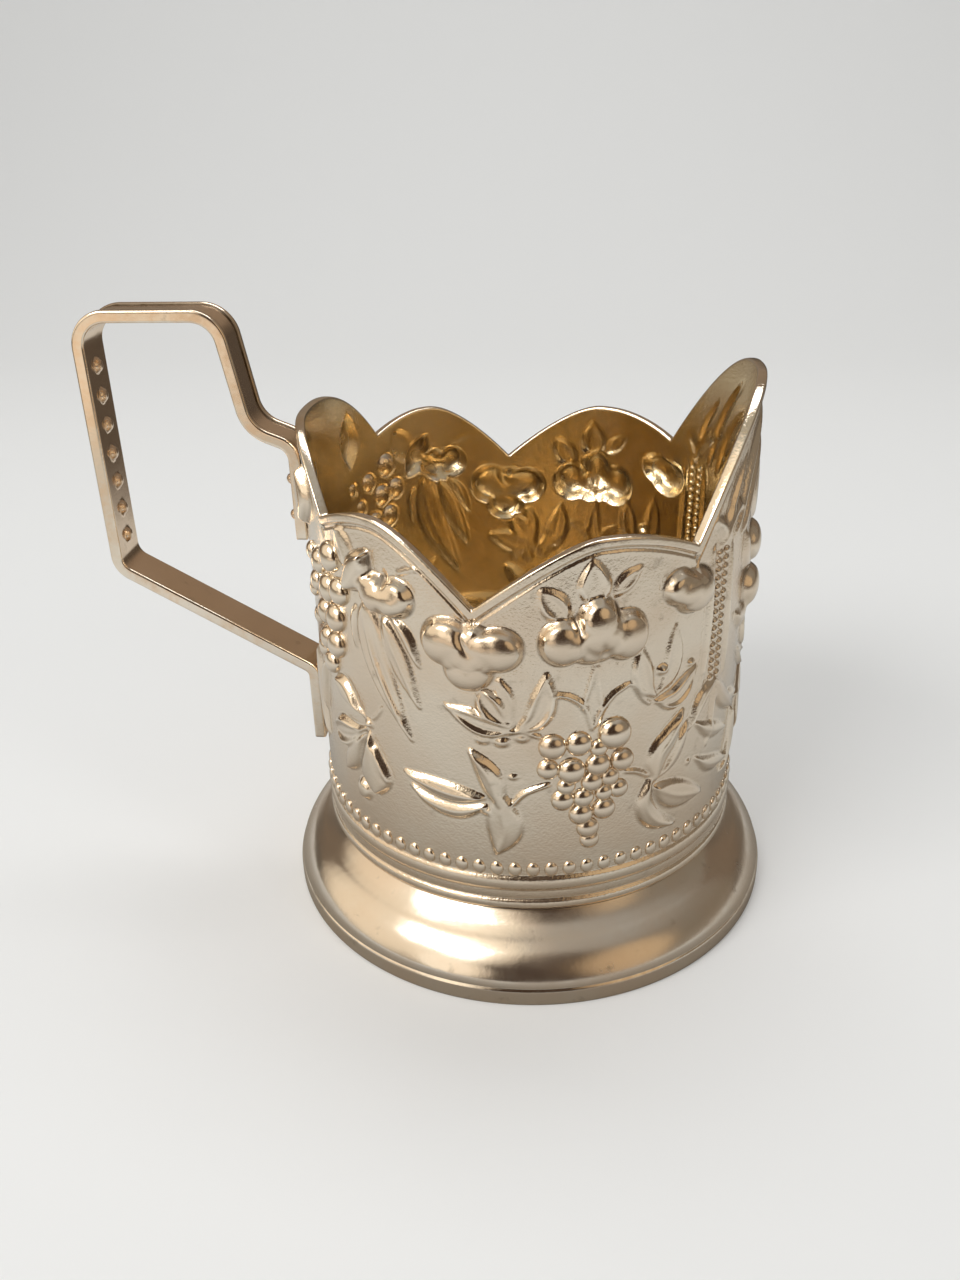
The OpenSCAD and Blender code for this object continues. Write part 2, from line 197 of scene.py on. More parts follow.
# Beaded ear beside the tall crest: azimuths of its two rows, heights and radius of the grains, and the hollow
# behind a grain, as a share of its radius and a depth
EAR_ROWS = (35.4, 32.3)
EAR_HEIGHTS = np.arange(46.0, 66.0, 1.32)
GRAIN_RADIUS = 0.72
GRAIN_HOLLOW = (1.1, 0.5)

# Leaves, petals and stems in the order they overlap. Each has a kind, the line that it follows from its base
# to its tip as azimuths and heights, its half width, its rise and where along the line it is widest
BLADES = (
    # Leaves over the four-lobed fruit
    ("hollow", ((78.2, 61.4), (80.8, 63.6), (84.2, 66.3)), 2.0, 0.8, 0.45),
    ("hollow", ((72.0, 63.6), (72.0, 66.4), (72.3, 70.0)), 2.4, 0.8, 0.38),
    ("hollow", ((67.2, 64.4), (64.4, 66.2), (60.6, 68.0)), 1.3, 0.75, 0.45),
    # Stems and tendrils between that fruit and the grapes
    ("stem", ((71.2, 55.0), (72.4, 51.6), (74.2, 47.6)), 0.38, 0.5, 0.5),
    ("stem", ((70.8, 55.0), (70.2, 51.0), (69.4, 47.2)), 0.38, 0.5, 0.5),
    ("stem", ((81.2, 50.4), (77.0, 49.8), (73.4, 47.8), (71.6, 44.2)), 0.5, 0.5, 0.5),
    ("stem", ((62.6, 50.6), (66.6, 49.4), (69.6, 47.0), (71.0, 44.6)), 0.5, 0.5, 0.5),
    # Flower left of the grapes
    ("hollow", ((89.8, 44.6), (85.0, 46.6), (83.0, 49.8), (82.4, 53.8)), 2.0, 1.0, 0.5),
    ("hollow", ((90.4, 45.4), (91.4, 49.0), (93.4, 53.0)), 1.2, 0.85, 0.6),
    ("hollow", ((90.3, 44.8), (96.4, 45.4), (101.4, 46.6), (106.4, 47.8)), 1.9, 1.05, 0.42),
    ("hollow", ((90.4, 45.2), (94.4, 47.8), (97.8, 51.2)), 1.9, 1.15, 0.6),
    ("stem", ((98.0, 43.8), (92.5, 44.3), (88.0, 44.6), (83.6, 43.6)), 0.45, 0.5, 0.5),
    # Spray below that flower
    ("leaf", ((96.5, 31.8), (104.0, 30.2), (111.5, 31.0), (117.0, 33.0)), 1.4, 0.8, 0.45),
    ("leaf", ((97.0, 33.1), (106.0, 33.3), (118.8, 34.9)), 1.7, 1.0, 0.45),
    ("leaf", ((93.4, 35.2), (92.8, 31.0), (92.3, 27.4), (94.4, 23.4)), 2.7, 1.15, 0.55),
    ("leaf", ((93.4, 32.0), (95.4, 36.4), (97.6, 38.8), (100.7, 41.2)), 1.8, 1.2, 0.45),
    ("stem", ((90.6, 32.2), (87.4, 34.4), (81.6, 35.8)), 0.45, 0.65, 0.4),
    # Hanging leaves under the pair of cherries
    ("stem", ((122.5, 61.0), (125.5, 60.0), (128.0, 58.8)), 0.4, 0.5, 0.5),
    ("leaf", ((131.4, 59.6), (132.4, 56.4), (132.4, 52.6)), 0.9, 0.7, 0.45),
    ("leaf", ((119.4, 60.0), (115.6, 57.4), (112.3, 52.8)), 1.1, 0.9, 0.45),
    ("leaf", ((121.8, 59.4), (118.4, 53.8), (115.6, 50.0), (112.5, 46.0)), 1.9, 0.9, 0.4),
    ("leaf", ((127.3, 60.8), (126.4, 55.2), (123.0, 49.2), (115.3, 40.2)), 2.8, 1.05, 0.32),
    ("ridge", ((124.0, 52.4), (122.0, 48.4), (118.0, 43.6)), 0.9, 1.15, 0.5),
    ("stem", ((117.4, 66.4), (114.6, 67.2), (111.0, 67.8)), 0.32, 0.35, 0.4),
    # Leaf behind the plum
    ("leaf", ((131.6, 64.4), (134.8, 67.4), (137.4, 71.2)), 2.5, 0.7, 0.5),
    # Blossom below the hanging leaves
    ("stem", ((128.8, 41.2), (126.4, 42.6), (124.4, 44.4)), 0.3, 0.4, 0.5),
    ("hollow", ((130.6, 39.4), (137.0, 37.0), (147.0, 35.0)), 2.6, 1.15, 0.65),
    ("pad", ((130.6, 41.0), (136.0, 43.0), (143.0, 45.4)), 1.9, 1.1, 0.68),
    ("pad", ((131.2, 38.4), (136.0, 34.0), (141.0, 29.2)), 2.0, 0.9, 0.62),
    ("pad", ((129.8, 39.8), (129.2, 35.4), (127.6, 28.4)), 3.5, 1.15, 0.7),
    ("ridge", ((128.0, 37.4), (126.2, 34.6), (123.0, 31.4)), 1.0, 1.15, 0.6),
    # Flower right of the grapes
    ("hollow", ((55.2, 47.4), (58.8, 50.2), (60.2, 56.2)), 1.7, 0.95, 0.5),
    ("hollow", ((54.6, 47.8), (50.8, 51.0), (50.2, 58.0)), 1.7, 0.6, 0.5),
    ("hollow", ((55.4, 46.6), (48.8, 46.2), (42.2, 49.8)), 1.9, 1.0, 0.5),
    ("stem", ((62.0, 50.6), (59.0, 47.8), (56.6, 46.4)), 0.4, 0.5, 0.5),
    # Spray below that flower
    ("leaf", ((54.0, 33.2), (48.6, 36.0), (44.0, 41.0)), 1.5, 0.8, 0.5),
    ("leaf", ((54.8, 32.8), (53.6, 37.2), (50.4, 39.6), (45.9, 43.4)), 2.1, 1.1, 0.45),
    ("leaf", ((54.0, 31.8), (47.0, 28.9), (36.0, 26.4)), 2.4, 1.0, 0.42),
    ("leaf", ((55.6, 34.0), (57.0, 29.4), (53.6, 25.9), (46.4, 23.4)), 1.7, 1.15, 0.5),
    ("stem", ((56.2, 34.2), (59.6, 35.6), (63.0, 36.2)), 0.4, 0.5, 0.5),
    # Long leaves under the beaded ear
    ("leaf", ((41.0, 39.8), (34.0, 36.8), (23.0, 34.2)), 1.4, 0.8, 0.5),
    ("leaf", ((40.0, 33.4), (33.0, 30.4), (21.0, 28.0)), 1.4, 0.8, 0.5),
    ("leaf", ((30.0, 41.6), (24.0, 39.6), (15.0, 38.4)), 1.2, 0.7, 0.5),
    # Husks and tip of the beaded ear
    ("ridge", ((39.6, 44.4), (38.5, 55.0), (38.4, 67.2)), 0.75, 0.85, 0.5),
    ("ridge", ((28.2, 44.4), (29.3, 55.0), (29.4, 67.2)), 0.75, 0.85, 0.5),
    ("leaf", ((35.4, 66.6), (33.0, 69.4), (29.0, 71.6), (25.2, 71.0)), 1.4, 1.0, 0.45),
    ("leaf", ((33.2, 66.8), (35.2, 69.6), (38.4, 71.4)), 1.1, 0.9, 0.45),
    ("leaf", ((33.8, 45.8), (39.0, 43.4), (43.6, 39.2)), 1.5, 0.9, 0.45),
    ("leaf", ((33.8, 45.8), (29.0, 41.6), (20.0, 36.6)), 1.7, 0.95, 0.45),
    ("stem", ((33.8, 45.6), (33.0, 40.0), (35.0, 34.0)), 0.5, 0.6, 0.4),
    # Long strokes that rise in the tall crest
    ("ridge", ((28.0, 67.0), (23.0, 74.6), (16.0, 80.4), (9.0, 83.6)), 1.1, 0.8, 0.4),
    ("ridge", ((23.6, 66.4), (18.6, 72.6), (12.0, 77.2), (5.4, 79.4)), 1.1, 0.8, 0.4),
    ("ridge", ((34.0, 68.0), (30.0, 74.0), (24.0, 78.6)), 0.8, 0.7, 0.4),
    # Leaves, flower and spray on the side away from the handle
    ("leaf", ((2.4, 64.0), (3.6, 69.4), (0.0, 76.0)), 1.9, 1.0, 0.45),
    ("leaf", ((12.0, 58.6), (16.4, 61.6), (19.0, 66.0)), 1.7, 0.9, 0.45),
    ("leaf", ((11.0, 53.6), (17.0, 51.6), (23.4, 53.6)), 1.8, 0.95, 0.45),
    ("hollow", ((1.6, 42.6), (5.8, 45.4), (8.4, 50.6)), 1.9, 0.95, 0.5),
    ("hollow", ((1.6, 41.6), (8.0, 42.2), (15.4, 45.6)), 1.7, 0.95, 0.45),
    ("leaf", ((1.6, 39.6), (7.6, 36.6), (15.8, 37.2)), 1.7, 0.95, 0.42),
    ("leaf", ((1.4, 38.4), (5.6, 33.0), (12.4, 29.4)), 1.9, 1.0, 0.45),
    ("pad", ((0.0, 39.4), (0.0, 34.0), (0.0, 27.0)), 2.0, 1.1, 0.6),
    ("leaf", ((18.4, 36.2), (18.0, 30.6), (24.6, 25.6)), 1.8, 0.95, 0.45),
    # Leaves on both sides of the seam
    ("leaf", ((160.0, 46.0), (161.0, 38.0), (155.0, 30.6)), 2.2, 0.9, 0.45),
    ("leaf", ((150.0, 46.0), (154.4, 41.0), (154.0, 35.6)), 1.6, 0.9, 0.45),
)

# Grooves drawn into what lies under them: the line, half width and depth
GROOVES = (
    (((70.6, 58.6), (70.3, 56.8), (71.0, 54.4)), 0.34, 0.5),
    (((66.9, 64.4), (66.4, 62.6), (66.6, 61.0)), 0.34, 0.5),
    (((76.0, 62.6), (75.4, 61.0), (75.6, 59.4)), 0.4, 0.5),
    (((99.8, 61.4), (101.2, 59.4), (100.2, 57.4)), 0.38, 0.7),
    (((121.2, 66.6), (121.0, 65.2), (120.6, 64.0)), 0.34, 0.5),
    (((120.8, 61.4), (120.7, 60.6), (120.7, 59.8)), 0.34, 0.5),
    (((128.2, 57.6), (127.2, 53.6), (124.8, 49.6), (120.4, 45.2)), 0.34, 0.3),
    (((125.4, 57.6), (124.2, 53.0), (121.0, 48.2), (117.6, 44.0)), 0.34, 0.3),
    (((119.6, 54.4), (117.2, 51.0), (114.8, 48.0)), 0.3, 0.25),
)


def smooth_step(value, low, high):
    share = np.clip((value - low) / (high - low), 0, 1)
    return share * share * (3 - 2 * share)


def smooth_line(points, steps=12):
    """Points along a Catmull-Rom curve through the given points."""
    ends = np.array([2 * points[0] - points[1], *points, 2 * points[-1] - points[-2]])
    share = np.linspace(0, 1, steps, endpoint=False)[:, None]
    parts = []
    for a, b, c, d in zip(ends, ends[1:], ends[2:], ends[3:]):
        parts.append(0.5 * (2 * b + (c - a) * share + (2 * a - 5 * b + 4 * c - d) * share ** 2
                            + (3 * b - a - 3 * c + d) * share ** 3))
    return np.vstack([*parts, points[-1:]])


class Relief:
    """Height of the embossed sheet over its ground, in millimetres, at every point of a grid."""

    # A shape's edge starts a little outside its outline and is rounded over a width
    edge_start = -0.05
    edge = 0.6
    # Fine moat that the stamp leaves around each shape
    moat_width = 0.35
    moat_depth = 0.07
    # Reach over which shapes that cross run together
    blend = 0.3
    # Powers that shape a dome's top and a blade's round and sharp cross-sections
    dome_power = 2.2
    crown_power = 0.9
    # How quickly stems and blades widen from their ends, and the half width that they keep there
    stem_taper = 0.25
    blade_taper = 0.85
    thinnest = 0.06
    # Widths of the midribs
    petal_midrib = 0.22
    leaf_midrib = 0.25

    def __init__(self, azimuth, height, radius):
        self.radius = radius
        self.along = np.radians(azimuth) * radius
        self.up = height
        self.rise = np.zeros_like(height)
        self.moat = np.zeros_like(height)

    def place(self, points):
        """Azimuths and heights as distances along the sheet and heights."""
        points = np.array(points, float)
        points[..., 0] = np.radians(points[..., 0]) * self.radius
        return points

    def near(self, points, reach):
        low, high = points.min(0) - reach, points.max(0) + reach
        return np.nonzero((self.along > low[0]) & (self.along < high[0])
                          & (self.up > low[1]) & (self.up < high[1]))

    def put(self, where, value, outside, blend):
        """Lays a shape over what is there, runs them together and sinks a fine moat around it."""
        moat = np.where(outside > 0, np.exp(-(outside / self.moat_width) ** 2), 0) * self.moat_depth
        self.moat[where] = np.where(outside > 0, np.maximum(self.moat[where], moat), 0)
        under = self.rise[where]
        near = np.clip(blend - np.abs(under - value), 0, None) * np.clip(np.minimum(under, value) * 2, 0, 1)
        self.rise[where] = np.maximum(under, value) + near ** 2 / (4 * blend)

    def dome(self, azimuth, height, half_width, half_height, rise, blend=blend):
        centre = self.place((azimuth, height))
        where = self.near(centre[None], max(half_width, half_height) + 1)
        share = np.hypot((self.along[where] - centre[0]) / half_width,
                         (self.up[where] - centre[1]) / half_height)
        outside = (share - 1) * min(half_width, half_height)
        round_top = np.sqrt(np.clip(1 - share ** self.dome_power, 0, 1))
        self.put(where, rise * round_top * smooth_step(-outside, self.edge_start, self.edge), outside, blend)

    def measure(self, line, reach):
        """Share of the way along a line, distance to its left and distance past its ends, near the line."""
        where = self.near(line, reach)
        spots = np.stack([self.along[where], self.up[where]], 1)
        steps = np.diff(line, axis=0)
        lengths = np.hypot(steps[:, 0], steps[:, 1])
        reached = np.concatenate([[0], np.cumsum(lengths)])
        best = np.full(len(spots), np.inf)
        share, left, past = np.zeros(len(spots)), np.zeros(len(spots)), np.zeros(len(spots))
        for start, step, length, before in zip(line, steps, lengths, reached):
            offset = spots - start
            forward = offset @ step / length
            side = (step[0] * offset[:, 1] - step[1] * offset[:, 0]) / length
            held = np.clip(forward, 0, length)
            distance = np.hypot(forward - held, side)
            closer = distance < best
            best = np.where(closer, distance, best)
            share = np.where(closer, (before + held) / reached[-1], share)
            left = np.where(closer, side, left)
            past = np.where(closer, np.abs(forward - held), past)
        return where, share, left, past

    def blade(self, kind, points, half_width, rise, widest):
        line = smooth_line(self.place(points))
        where, share, left, past = self.measure(line, half_width + 1)
        swell = math.log(0.5) / math.log(widest)
        taper = self.stem_taper if kind == "stem" else self.blade_taper
        width = half_width * np.sin(math.pi * np.clip(share, 0.001, 0.999) ** swell) ** taper
        width = np.maximum(width, self.thinnest)
        distance = np.hypot(left, past)
        outside = distance - width
        across = np.clip(distance / width, 0, 1)
        shoulder = self.edge * (0.8 if kind == "leaf" else 1.0)
        edge = smooth_step(-outside, self.edge_start, np.minimum(shoulder, width * 0.8))
        self.put(where, rise * self.crown(kind, across, left, share) * edge, outside, self.blend)

    def crown(self, kind, across, left, share):
        """Height across a blade, as a share of its rise: round for stems and pads, sharp for ridges, hollow
        with a midrib at the base for petals, and gently round with a midrib for leaves."""
        if kind in ("stem", "pad"):
            return np.sqrt(1 - across ** 2) ** self.crown_power
        if kind == "ridge":
            return 0.25 + 0.75 * (1 - across) ** self.crown_power
        if kind == "hollow":
            midrib = np.exp(-(left / self.petal_midrib) ** 2) * (1 - share)
            return 0.35 + 0.65 * smooth_step(across, 0.25, 0.8) + 0.25 * midrib
        midrib = np.exp(-(left / self.leaf_midrib) ** 2) * np.sin(math.pi * share) ** 0.5
        return 0.40 + 0.34 * (1 - across ** 2) + 0.22 * midrib

    def groove(self, points, half_width, depth):
        line = smooth_line(self.place(points))
        where, share, left, past = self.measure(line, 4 * half_width)
        distance = np.hypot(left, past)
        fade = np.sin(math.pi * np.clip(share, 0.02, 0.98)) ** 0.5
        self.rise[where] -= depth * fade * np.exp(-(distance / half_width) ** 2)


def stamped_height(azimuth, height, radius, with_grapes):
    """Relief of the sheet in millimetres at a grid of azimuths from 0 to 180 degrees and heights. Only the
    inside has the grapes, which are beads of their own on the outside."""
    relief = Relief(azimuth, height, radius)
    for blade in BLADES:
        relief.blade(*blade)
    for points, half_width, rise in LONG_FRUIT:
        relief.blade("pad", points, half_width, rise, 0.5)
    for fruit in FRUIT:
        relief.dome(*fruit, FRUIT_BLEND)
    for bud in BUDS:
        relief.dome(*bud)
    if with_grapes:
        width, depth = GRAPE_HOLLOW
        for spot_azimuth, spot_height, size in GRAPES:
            relief.dome(spot_azimuth, spot_height, size * width, size * width, size * depth)
    for groove in GROOVES:
        relief.groove(*groove)
    height = relief.rise - relief.moat
    # Two light passes of smoothing each way
    for axis in (0, 1, 0, 1):
        height = (np.roll(height, 1, axis) + 2 * height + np.roll(height, -1, axis)) / 4
    return height


def ear_height(azimuth, height, radius):
    """Hollows behind the grains of the beaded ear, in millimetres."""
    relief = Relief(azimuth, height, radius)
    width, depth = GRAIN_HOLLOW
    for ear_azimuth in EAR_ROWS:
        for grain_height in EAR_HEIGHTS:
            relief.dome(ear_azimuth, grain_height, GRAIN_RADIUS * width, GRAIN_RADIUS, depth)
    return relief.rise


def eroded(field, reach):
    """Lowest value of a grid within reach cells of every point."""
    lowest = field.copy()
    for axis in (0, 1):
        held = lowest.copy()
        for shift in range(1, reach + 1):
            for direction in (-shift, shift):
                lowest = np.minimum(lowest, np.roll(held, direction, axis))
    return lowest


def blurred(field, reach):
    """Mean of a grid within reach cells of every point."""
    for axis in (0, 1):
        field = np.mean([np.roll(field, shift, axis) for shift in range(-reach, reach + 1)], axis=0)
    return field


class SheetGrid:
    """Points and normals of half of the rolled sheet, from its lower edge up, over the rim and down again."""

    # Degrees between columns
    column_step = 0.4
    # Rows outside below and above the height at which they start to follow the rim, over the rim, and inside
    split = 50.0
    lower_rows = 190
    upper_rows = 110
    edge_rows = 7
    inner_rows = 195
    # Height of the rounded rim over the last row on each side, and how square its top and sides are
    rim_rise = 0.45
    rim_top_power = 0.5
    rim_side_power = 0.65
    # The border's slope, where the ornament fades in below it, and fine lines there: distance, rise and width
    border_slope = 0.3
    border_gap = (0.15, 0.5)
    border_lines = ((0.35, -0.14, 0.2), (0.8, 0.06, 0.25))
    # Inside: depth up to which forms keep their width, share of the relief that shows, and the plain lip
    full_depth = 0.55
    shown_share = 0.93
    plain_lip = (1.2, 2.2)
    # On the rim: share of the inner gold, and how much it stands out as a worn crest
    rim_gold = 0.35
    rim_crest = 0.2
    # How much the hollows inside count as recesses, which tarnish and painted shade darken
    hollow_dirt_and_shade = 0.6

    def __init__(self, bore, wall, border, border_rise, bottom):
        self.outer_radius = bore + wall
        self.bore = bore
        columns = int(round(180 / self.column_step))
        # One spare column on each side gives the mirror planes their normals
        azimuth = np.arange(-1, columns + 2) * self.column_step
        folded = np.where(azimuth > 180, 360 - azimuth, np.abs(azimuth))
        rim = rim_height(folded)
        slope = np.gradient(rim, np.radians(self.column_step) * self.outer_radius)
        self.steep = 1 / np.hypot(1, slope)
        self.azimuth, self.folded, self.rim = azimuth, folded, rim
        outer = self.rows(self.lower_rows, self.upper_rows, bottom)
        inner = self.rows(self.inner_rows // 2, self.inner_rows - self.inner_rows // 2, bottom)[::-1]
        outer_radius, outer_mask = self.outside(outer, border, border_rise)
        inner_radius = self.inside(inner)
        roll_height, roll_radius = self.rolled_edge(outer[-1], outer_radius[-1], inner_radius[0])
        self.height = np.vstack([outer, roll_height, inner])
        self.reach = np.vstack([outer_radius, roll_radius, inner_radius])
        flat = np.zeros_like(roll_height)
        self.mask = np.vstack([outer_mask, flat + border_rise, np.zeros_like(inner)])
        self.inner_share = np.vstack([np.zeros_like(outer), flat + self.rim_gold, np.ones_like(inner)])
        hollow = inner_radius - bore
        # Cavity is low around the raised shapes outside and in the hollows inside, where tarnish and painted
        # shade darken the metal, and high on crests, which wear
        self.cavity = np.vstack([outer_mask - blurred(outer_mask, 2), flat + self.rim_crest,
                                 self.hollow_dirt_and_shade * (blurred(hollow, 5) - hollow)])

    def rows(self, lower, upper, bottom):
        """Heights of the grid: level rows below the split and rows that follow the rim above it."""
        level = np.linspace(bottom, self.split, lower, endpoint=False)[:, None] + 0 * self.rim[None]
        share = np.linspace(0, 1, upper)[:, None]
        top = self.rim[None] - self.rim_rise
        return np.vstack([level, self.split + (top - self.split) * share])

    def relief_terms(self, height):
        """Azimuth, and distance below the rim square to it, at every point of a grid of heights."""
        return self.folded[None] + 0 * height, (self.rim[None] - height) * self.steep[None]

    def outside(self, height, border, border_rise):
        azimuth, below_rim = self.relief_terms(height)
        rise = stamped_height(azimuth, height, self.outer_radius, False)
        fade_start, fade_end = self.border_gap
        rise = rise * smooth_step(below_rim, border + fade_start, border + fade_end)
        rise += border_rise * (1 - smooth_step(below_rim, border - self.border_slope, border))
        for distance, swell, width in self.border_lines:
            rise += swell * np.exp(-((below_rim - border - distance) / width) ** 2)
        for level, swell, half in MOULDINGS:
            share = np.clip(np.abs(height - level) / half, 0, 1)
            rise += swell * np.sqrt(1 - share ** 2)
        return self.outer_radius + rise, rise

    def inside(self, height):
        azimuth, below_rim = self.relief_terms(height)
        rise = stamped_height(azimuth, height, self.outer_radius, True)
        hollow = blurred(np.maximum(eroded(rise, 1), np.clip(rise, 0, self.full_depth)), 1)
        hollow = np.maximum(hollow, ear_height(azimuth, height, self.outer_radius))
        hollow = hollow * smooth_step(below_rim, *self.plain_lip)
        return self.bore + self.shown_share * hollow

    def rolled_edge(self, height, outer, inner):
        """Rounds the rim from the outside over to the inside."""
        turn = np.linspace(0, math.pi, self.edge_rows + 2)[1:-1, None]
        middle, half = (outer + inner) / 2, (outer - inner) / 2
        round_side = np.sign(np.cos(turn)) * np.abs(np.cos(turn)) ** self.rim_side_power
        return height + np.sin(turn) ** self.rim_top_power * self.rim_rise, middle + round_side * half

    def points(self):
        angle = np.radians(self.azimuth)[None]
        return np.stack([self.reach * np.cos(angle), self.reach * np.sin(angle), self.height], 2)

    def normals(self, points):
        along_row = np.gradient(points, axis=1)
        up = np.roll(points, -1, axis=0) - np.roll(points, 1, axis=0)
        normal = np.cross(along_row, up)
        return normal / np.maximum(np.linalg.norm(normal, axis=2, keepdims=True), 1e-9)


def new_mesh(name, vertices, quads):
    """Smooth mesh from arrays of points in millimetres and of quads."""
    mesh = bpy.data.meshes.new(name)
    mesh.vertices.add(len(vertices))
    mesh.vertices.foreach_set("co", (np.asarray(vertices, float) * MM).astype(np.float32).ravel())
    mesh.loops.add(quads.size)
    mesh.loops.foreach_set("vertex_index", quads.astype(np.int32).ravel())
    mesh.polygons.add(len(quads))
    mesh.polygons.foreach_set("loop_start", np.arange(0, quads.size, 4, dtype=np.int32))
    mesh.polygons.foreach_set("use_smooth", np.ones(len(quads), bool))
    mesh.update(calc_edges=True)
    return mesh


def grid_quads(rows, columns, close_rows, close_columns):
    """Quads of a grid of points, closed on itself where asked."""
    row = np.arange(rows if close_rows else rows - 1)
    column = np.arange(columns if close_columns else columns - 1)
    r, c = np.meshgrid(row, column, indexing="ij")
    r2, c2 = (r + 1) % rows, (c + 1) % columns
    quads = np.stack([r * columns + c, r * columns + c2, r2 * columns + c2, r2 * columns + c], 2)
    return quads.reshape(-1, 4)


def point_attribute(mesh, name, values):
    attribute = mesh.attributes.new(name, "FLOAT", "POINT")
    attribute.data.foreach_set("value", np.asarray(values, np.float32).ravel())


def linked(name, data):
    """New object in the scene."""
    made = bpy.data.objects.new(name, data)
    bpy.context.scene.collection.objects.link(made)
    return made


def finished(mesh, material, node, slot):
    """Puts a piece in the scene and fixes it to the frame."""
    piece = linked(mesh.name, mesh)
    if material is not None:
        mesh.materials.clear()
        mesh.materials.append(material)
    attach(piece, "root")
    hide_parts(node)


def close_ends(mesh, ends):
    """Closes the open ends of a grid with one flat face each."""
    work = bmesh.new()
    work.from_mesh(mesh)
    work.verts.ensure_lookup_table()
    for end in ends:
        face = work.faces.new([work.verts[i] for i in end])
        face.smooth = False
    work.to_mesh(mesh)
    work.free()


# Azimuths at which each half of the sheet is divided, so that no piece is too heavy
SECTORS = (0, 60, 118, 180)


class HOLDER_OT_sleeve(Operator):
    """Build the embossed sheet with its scalloped rim"""

    bl_idname = "holder.sleeve"
    bl_label = "Sleeve"

    def execute(self, context):
        sizes, _, _ = settings()
        grid = SheetGrid(sizes.bore / MM, sizes.wall / MM, sizes.border / MM, sizes.border_rise / MM,
                         bottom_mm("sleeve"))
        points = grid.points()
        normals = grid.normals(points)
        material = plated_material("silver gilt sheet", "silver", sheet=True)
        for side, word in ((-1, "near"), (1, "far")):
            mirror = np.array([1, side, 1])
            for low, high in zip(SECTORS, SECTORS[1:]):
                first = int(round(low / grid.column_step)) + 1
                last = int(round(high / grid.column_step)) + 2
                self.sector(grid, f"sleeve_{word}_{low}", points[:, first:last] * mirror,
                            normals[:, first:last] * mirror, slice(first, last), side, material)
        return {"FINISHED"}

    def sector(self, grid, name, points, normals, columns, side, material):
        rows, count = points.shape[:2]
        quads = grid_quads(rows, count, True, False)
        if side < 0:
            quads = quads[:, ::-1]
        mesh = new_mesh(name, points.reshape(-1, 3), quads)
        point_attribute(mesh, "rise", grid.mask[:, columns])
        point_attribute(mesh, "cavity", grid.cavity[:, columns])
        point_attribute(mesh, "inside", grid.inner_share[:, columns])
        start = [row * count for row in range(rows)]
        end = [row * count + count - 1 for row in range(rows)]
        close_ends(mesh, [start[::side], end[::-side]])
        mesh.normals_split_custom_set_from_vertices(normals.reshape(-1, 3).tolist())
        finished(mesh, material, "sleeve", "silver_gilt")


def socket(tree, name, kind, default=None, output=False):
    made = tree.interface.new_socket(name, in_out="OUTPUT" if output else "INPUT", socket_type=kind)
    if default is not None:
        made.default_value = default


def wire(tree, source, target):
    """Joins an output socket to an input socket, or sets the input to a plain value."""
    if isinstance(source, bpy.types.NodeSocket):
        tree.links.new(source, target)
    else:
        target.default_value = source


def add_node(tree, kind, inputs=(), **values):
    """New node with its settings and, by name or number, its inputs."""
    node = tree.nodes.new(kind)
    for name, value in values.items():
        setattr(node, name, value)
    for name, source in dict(inputs).items():
        wire(tree, source, node.inputs[name])
    return node


def maths(tree, operation, *inputs, clamp=False):
    node = add_node(tree, "ShaderNodeMath", enumerate(inputs), operation=operation, use_clamp=clamp)
    return node.outputs[0]


def noise(tree, vector, scale, detail=3.0, roughness=0.55):
    inputs = {"Vector": vector, "Scale": scale, "Detail": detail, "Roughness": roughness}
    return add_node(tree, "ShaderNodeTexNoise", inputs).outputs["Fac"]


def mix_colours(tree, share, first, second):
    inputs = {"Factor": share, "A": first, "B": second}
    return add_node(tree, "ShaderNodeMix", inputs, data_type="RGBA").outputs["Result"]


def colour_ramp(tree, value, stops):
    ramp = add_node(tree, "ShaderNodeValToRGB")
    while len(ramp.color_ramp.elements) < len(stops):
        ramp.color_ramp.elements.new(0.5)
    for element, (position, colour) in zip(ramp.color_ramp.elements, stops):
        element.position = position
        element.color = colour
    wire(tree, value, ramp.inputs["Fac"])
    return ramp.outputs["Color"]


def map_range(tree, value, low, high, to_low=0.0, to_high=1.0):
    inputs = {"Value": value, "From Min": low, "From Max": high, "To Min": to_low, "To Max": to_high}
    return add_node(tree, "ShaderNodeMapRange", inputs, interpolation_type="SMOOTHSTEP").outputs["Result"]


# Warmer tint that clouds the plating, and how strongly spots of dirt show
CLOUD_TINT = (0.74, 0.55, 0.38, 1)
SPOT_STRENGTH = 0.3


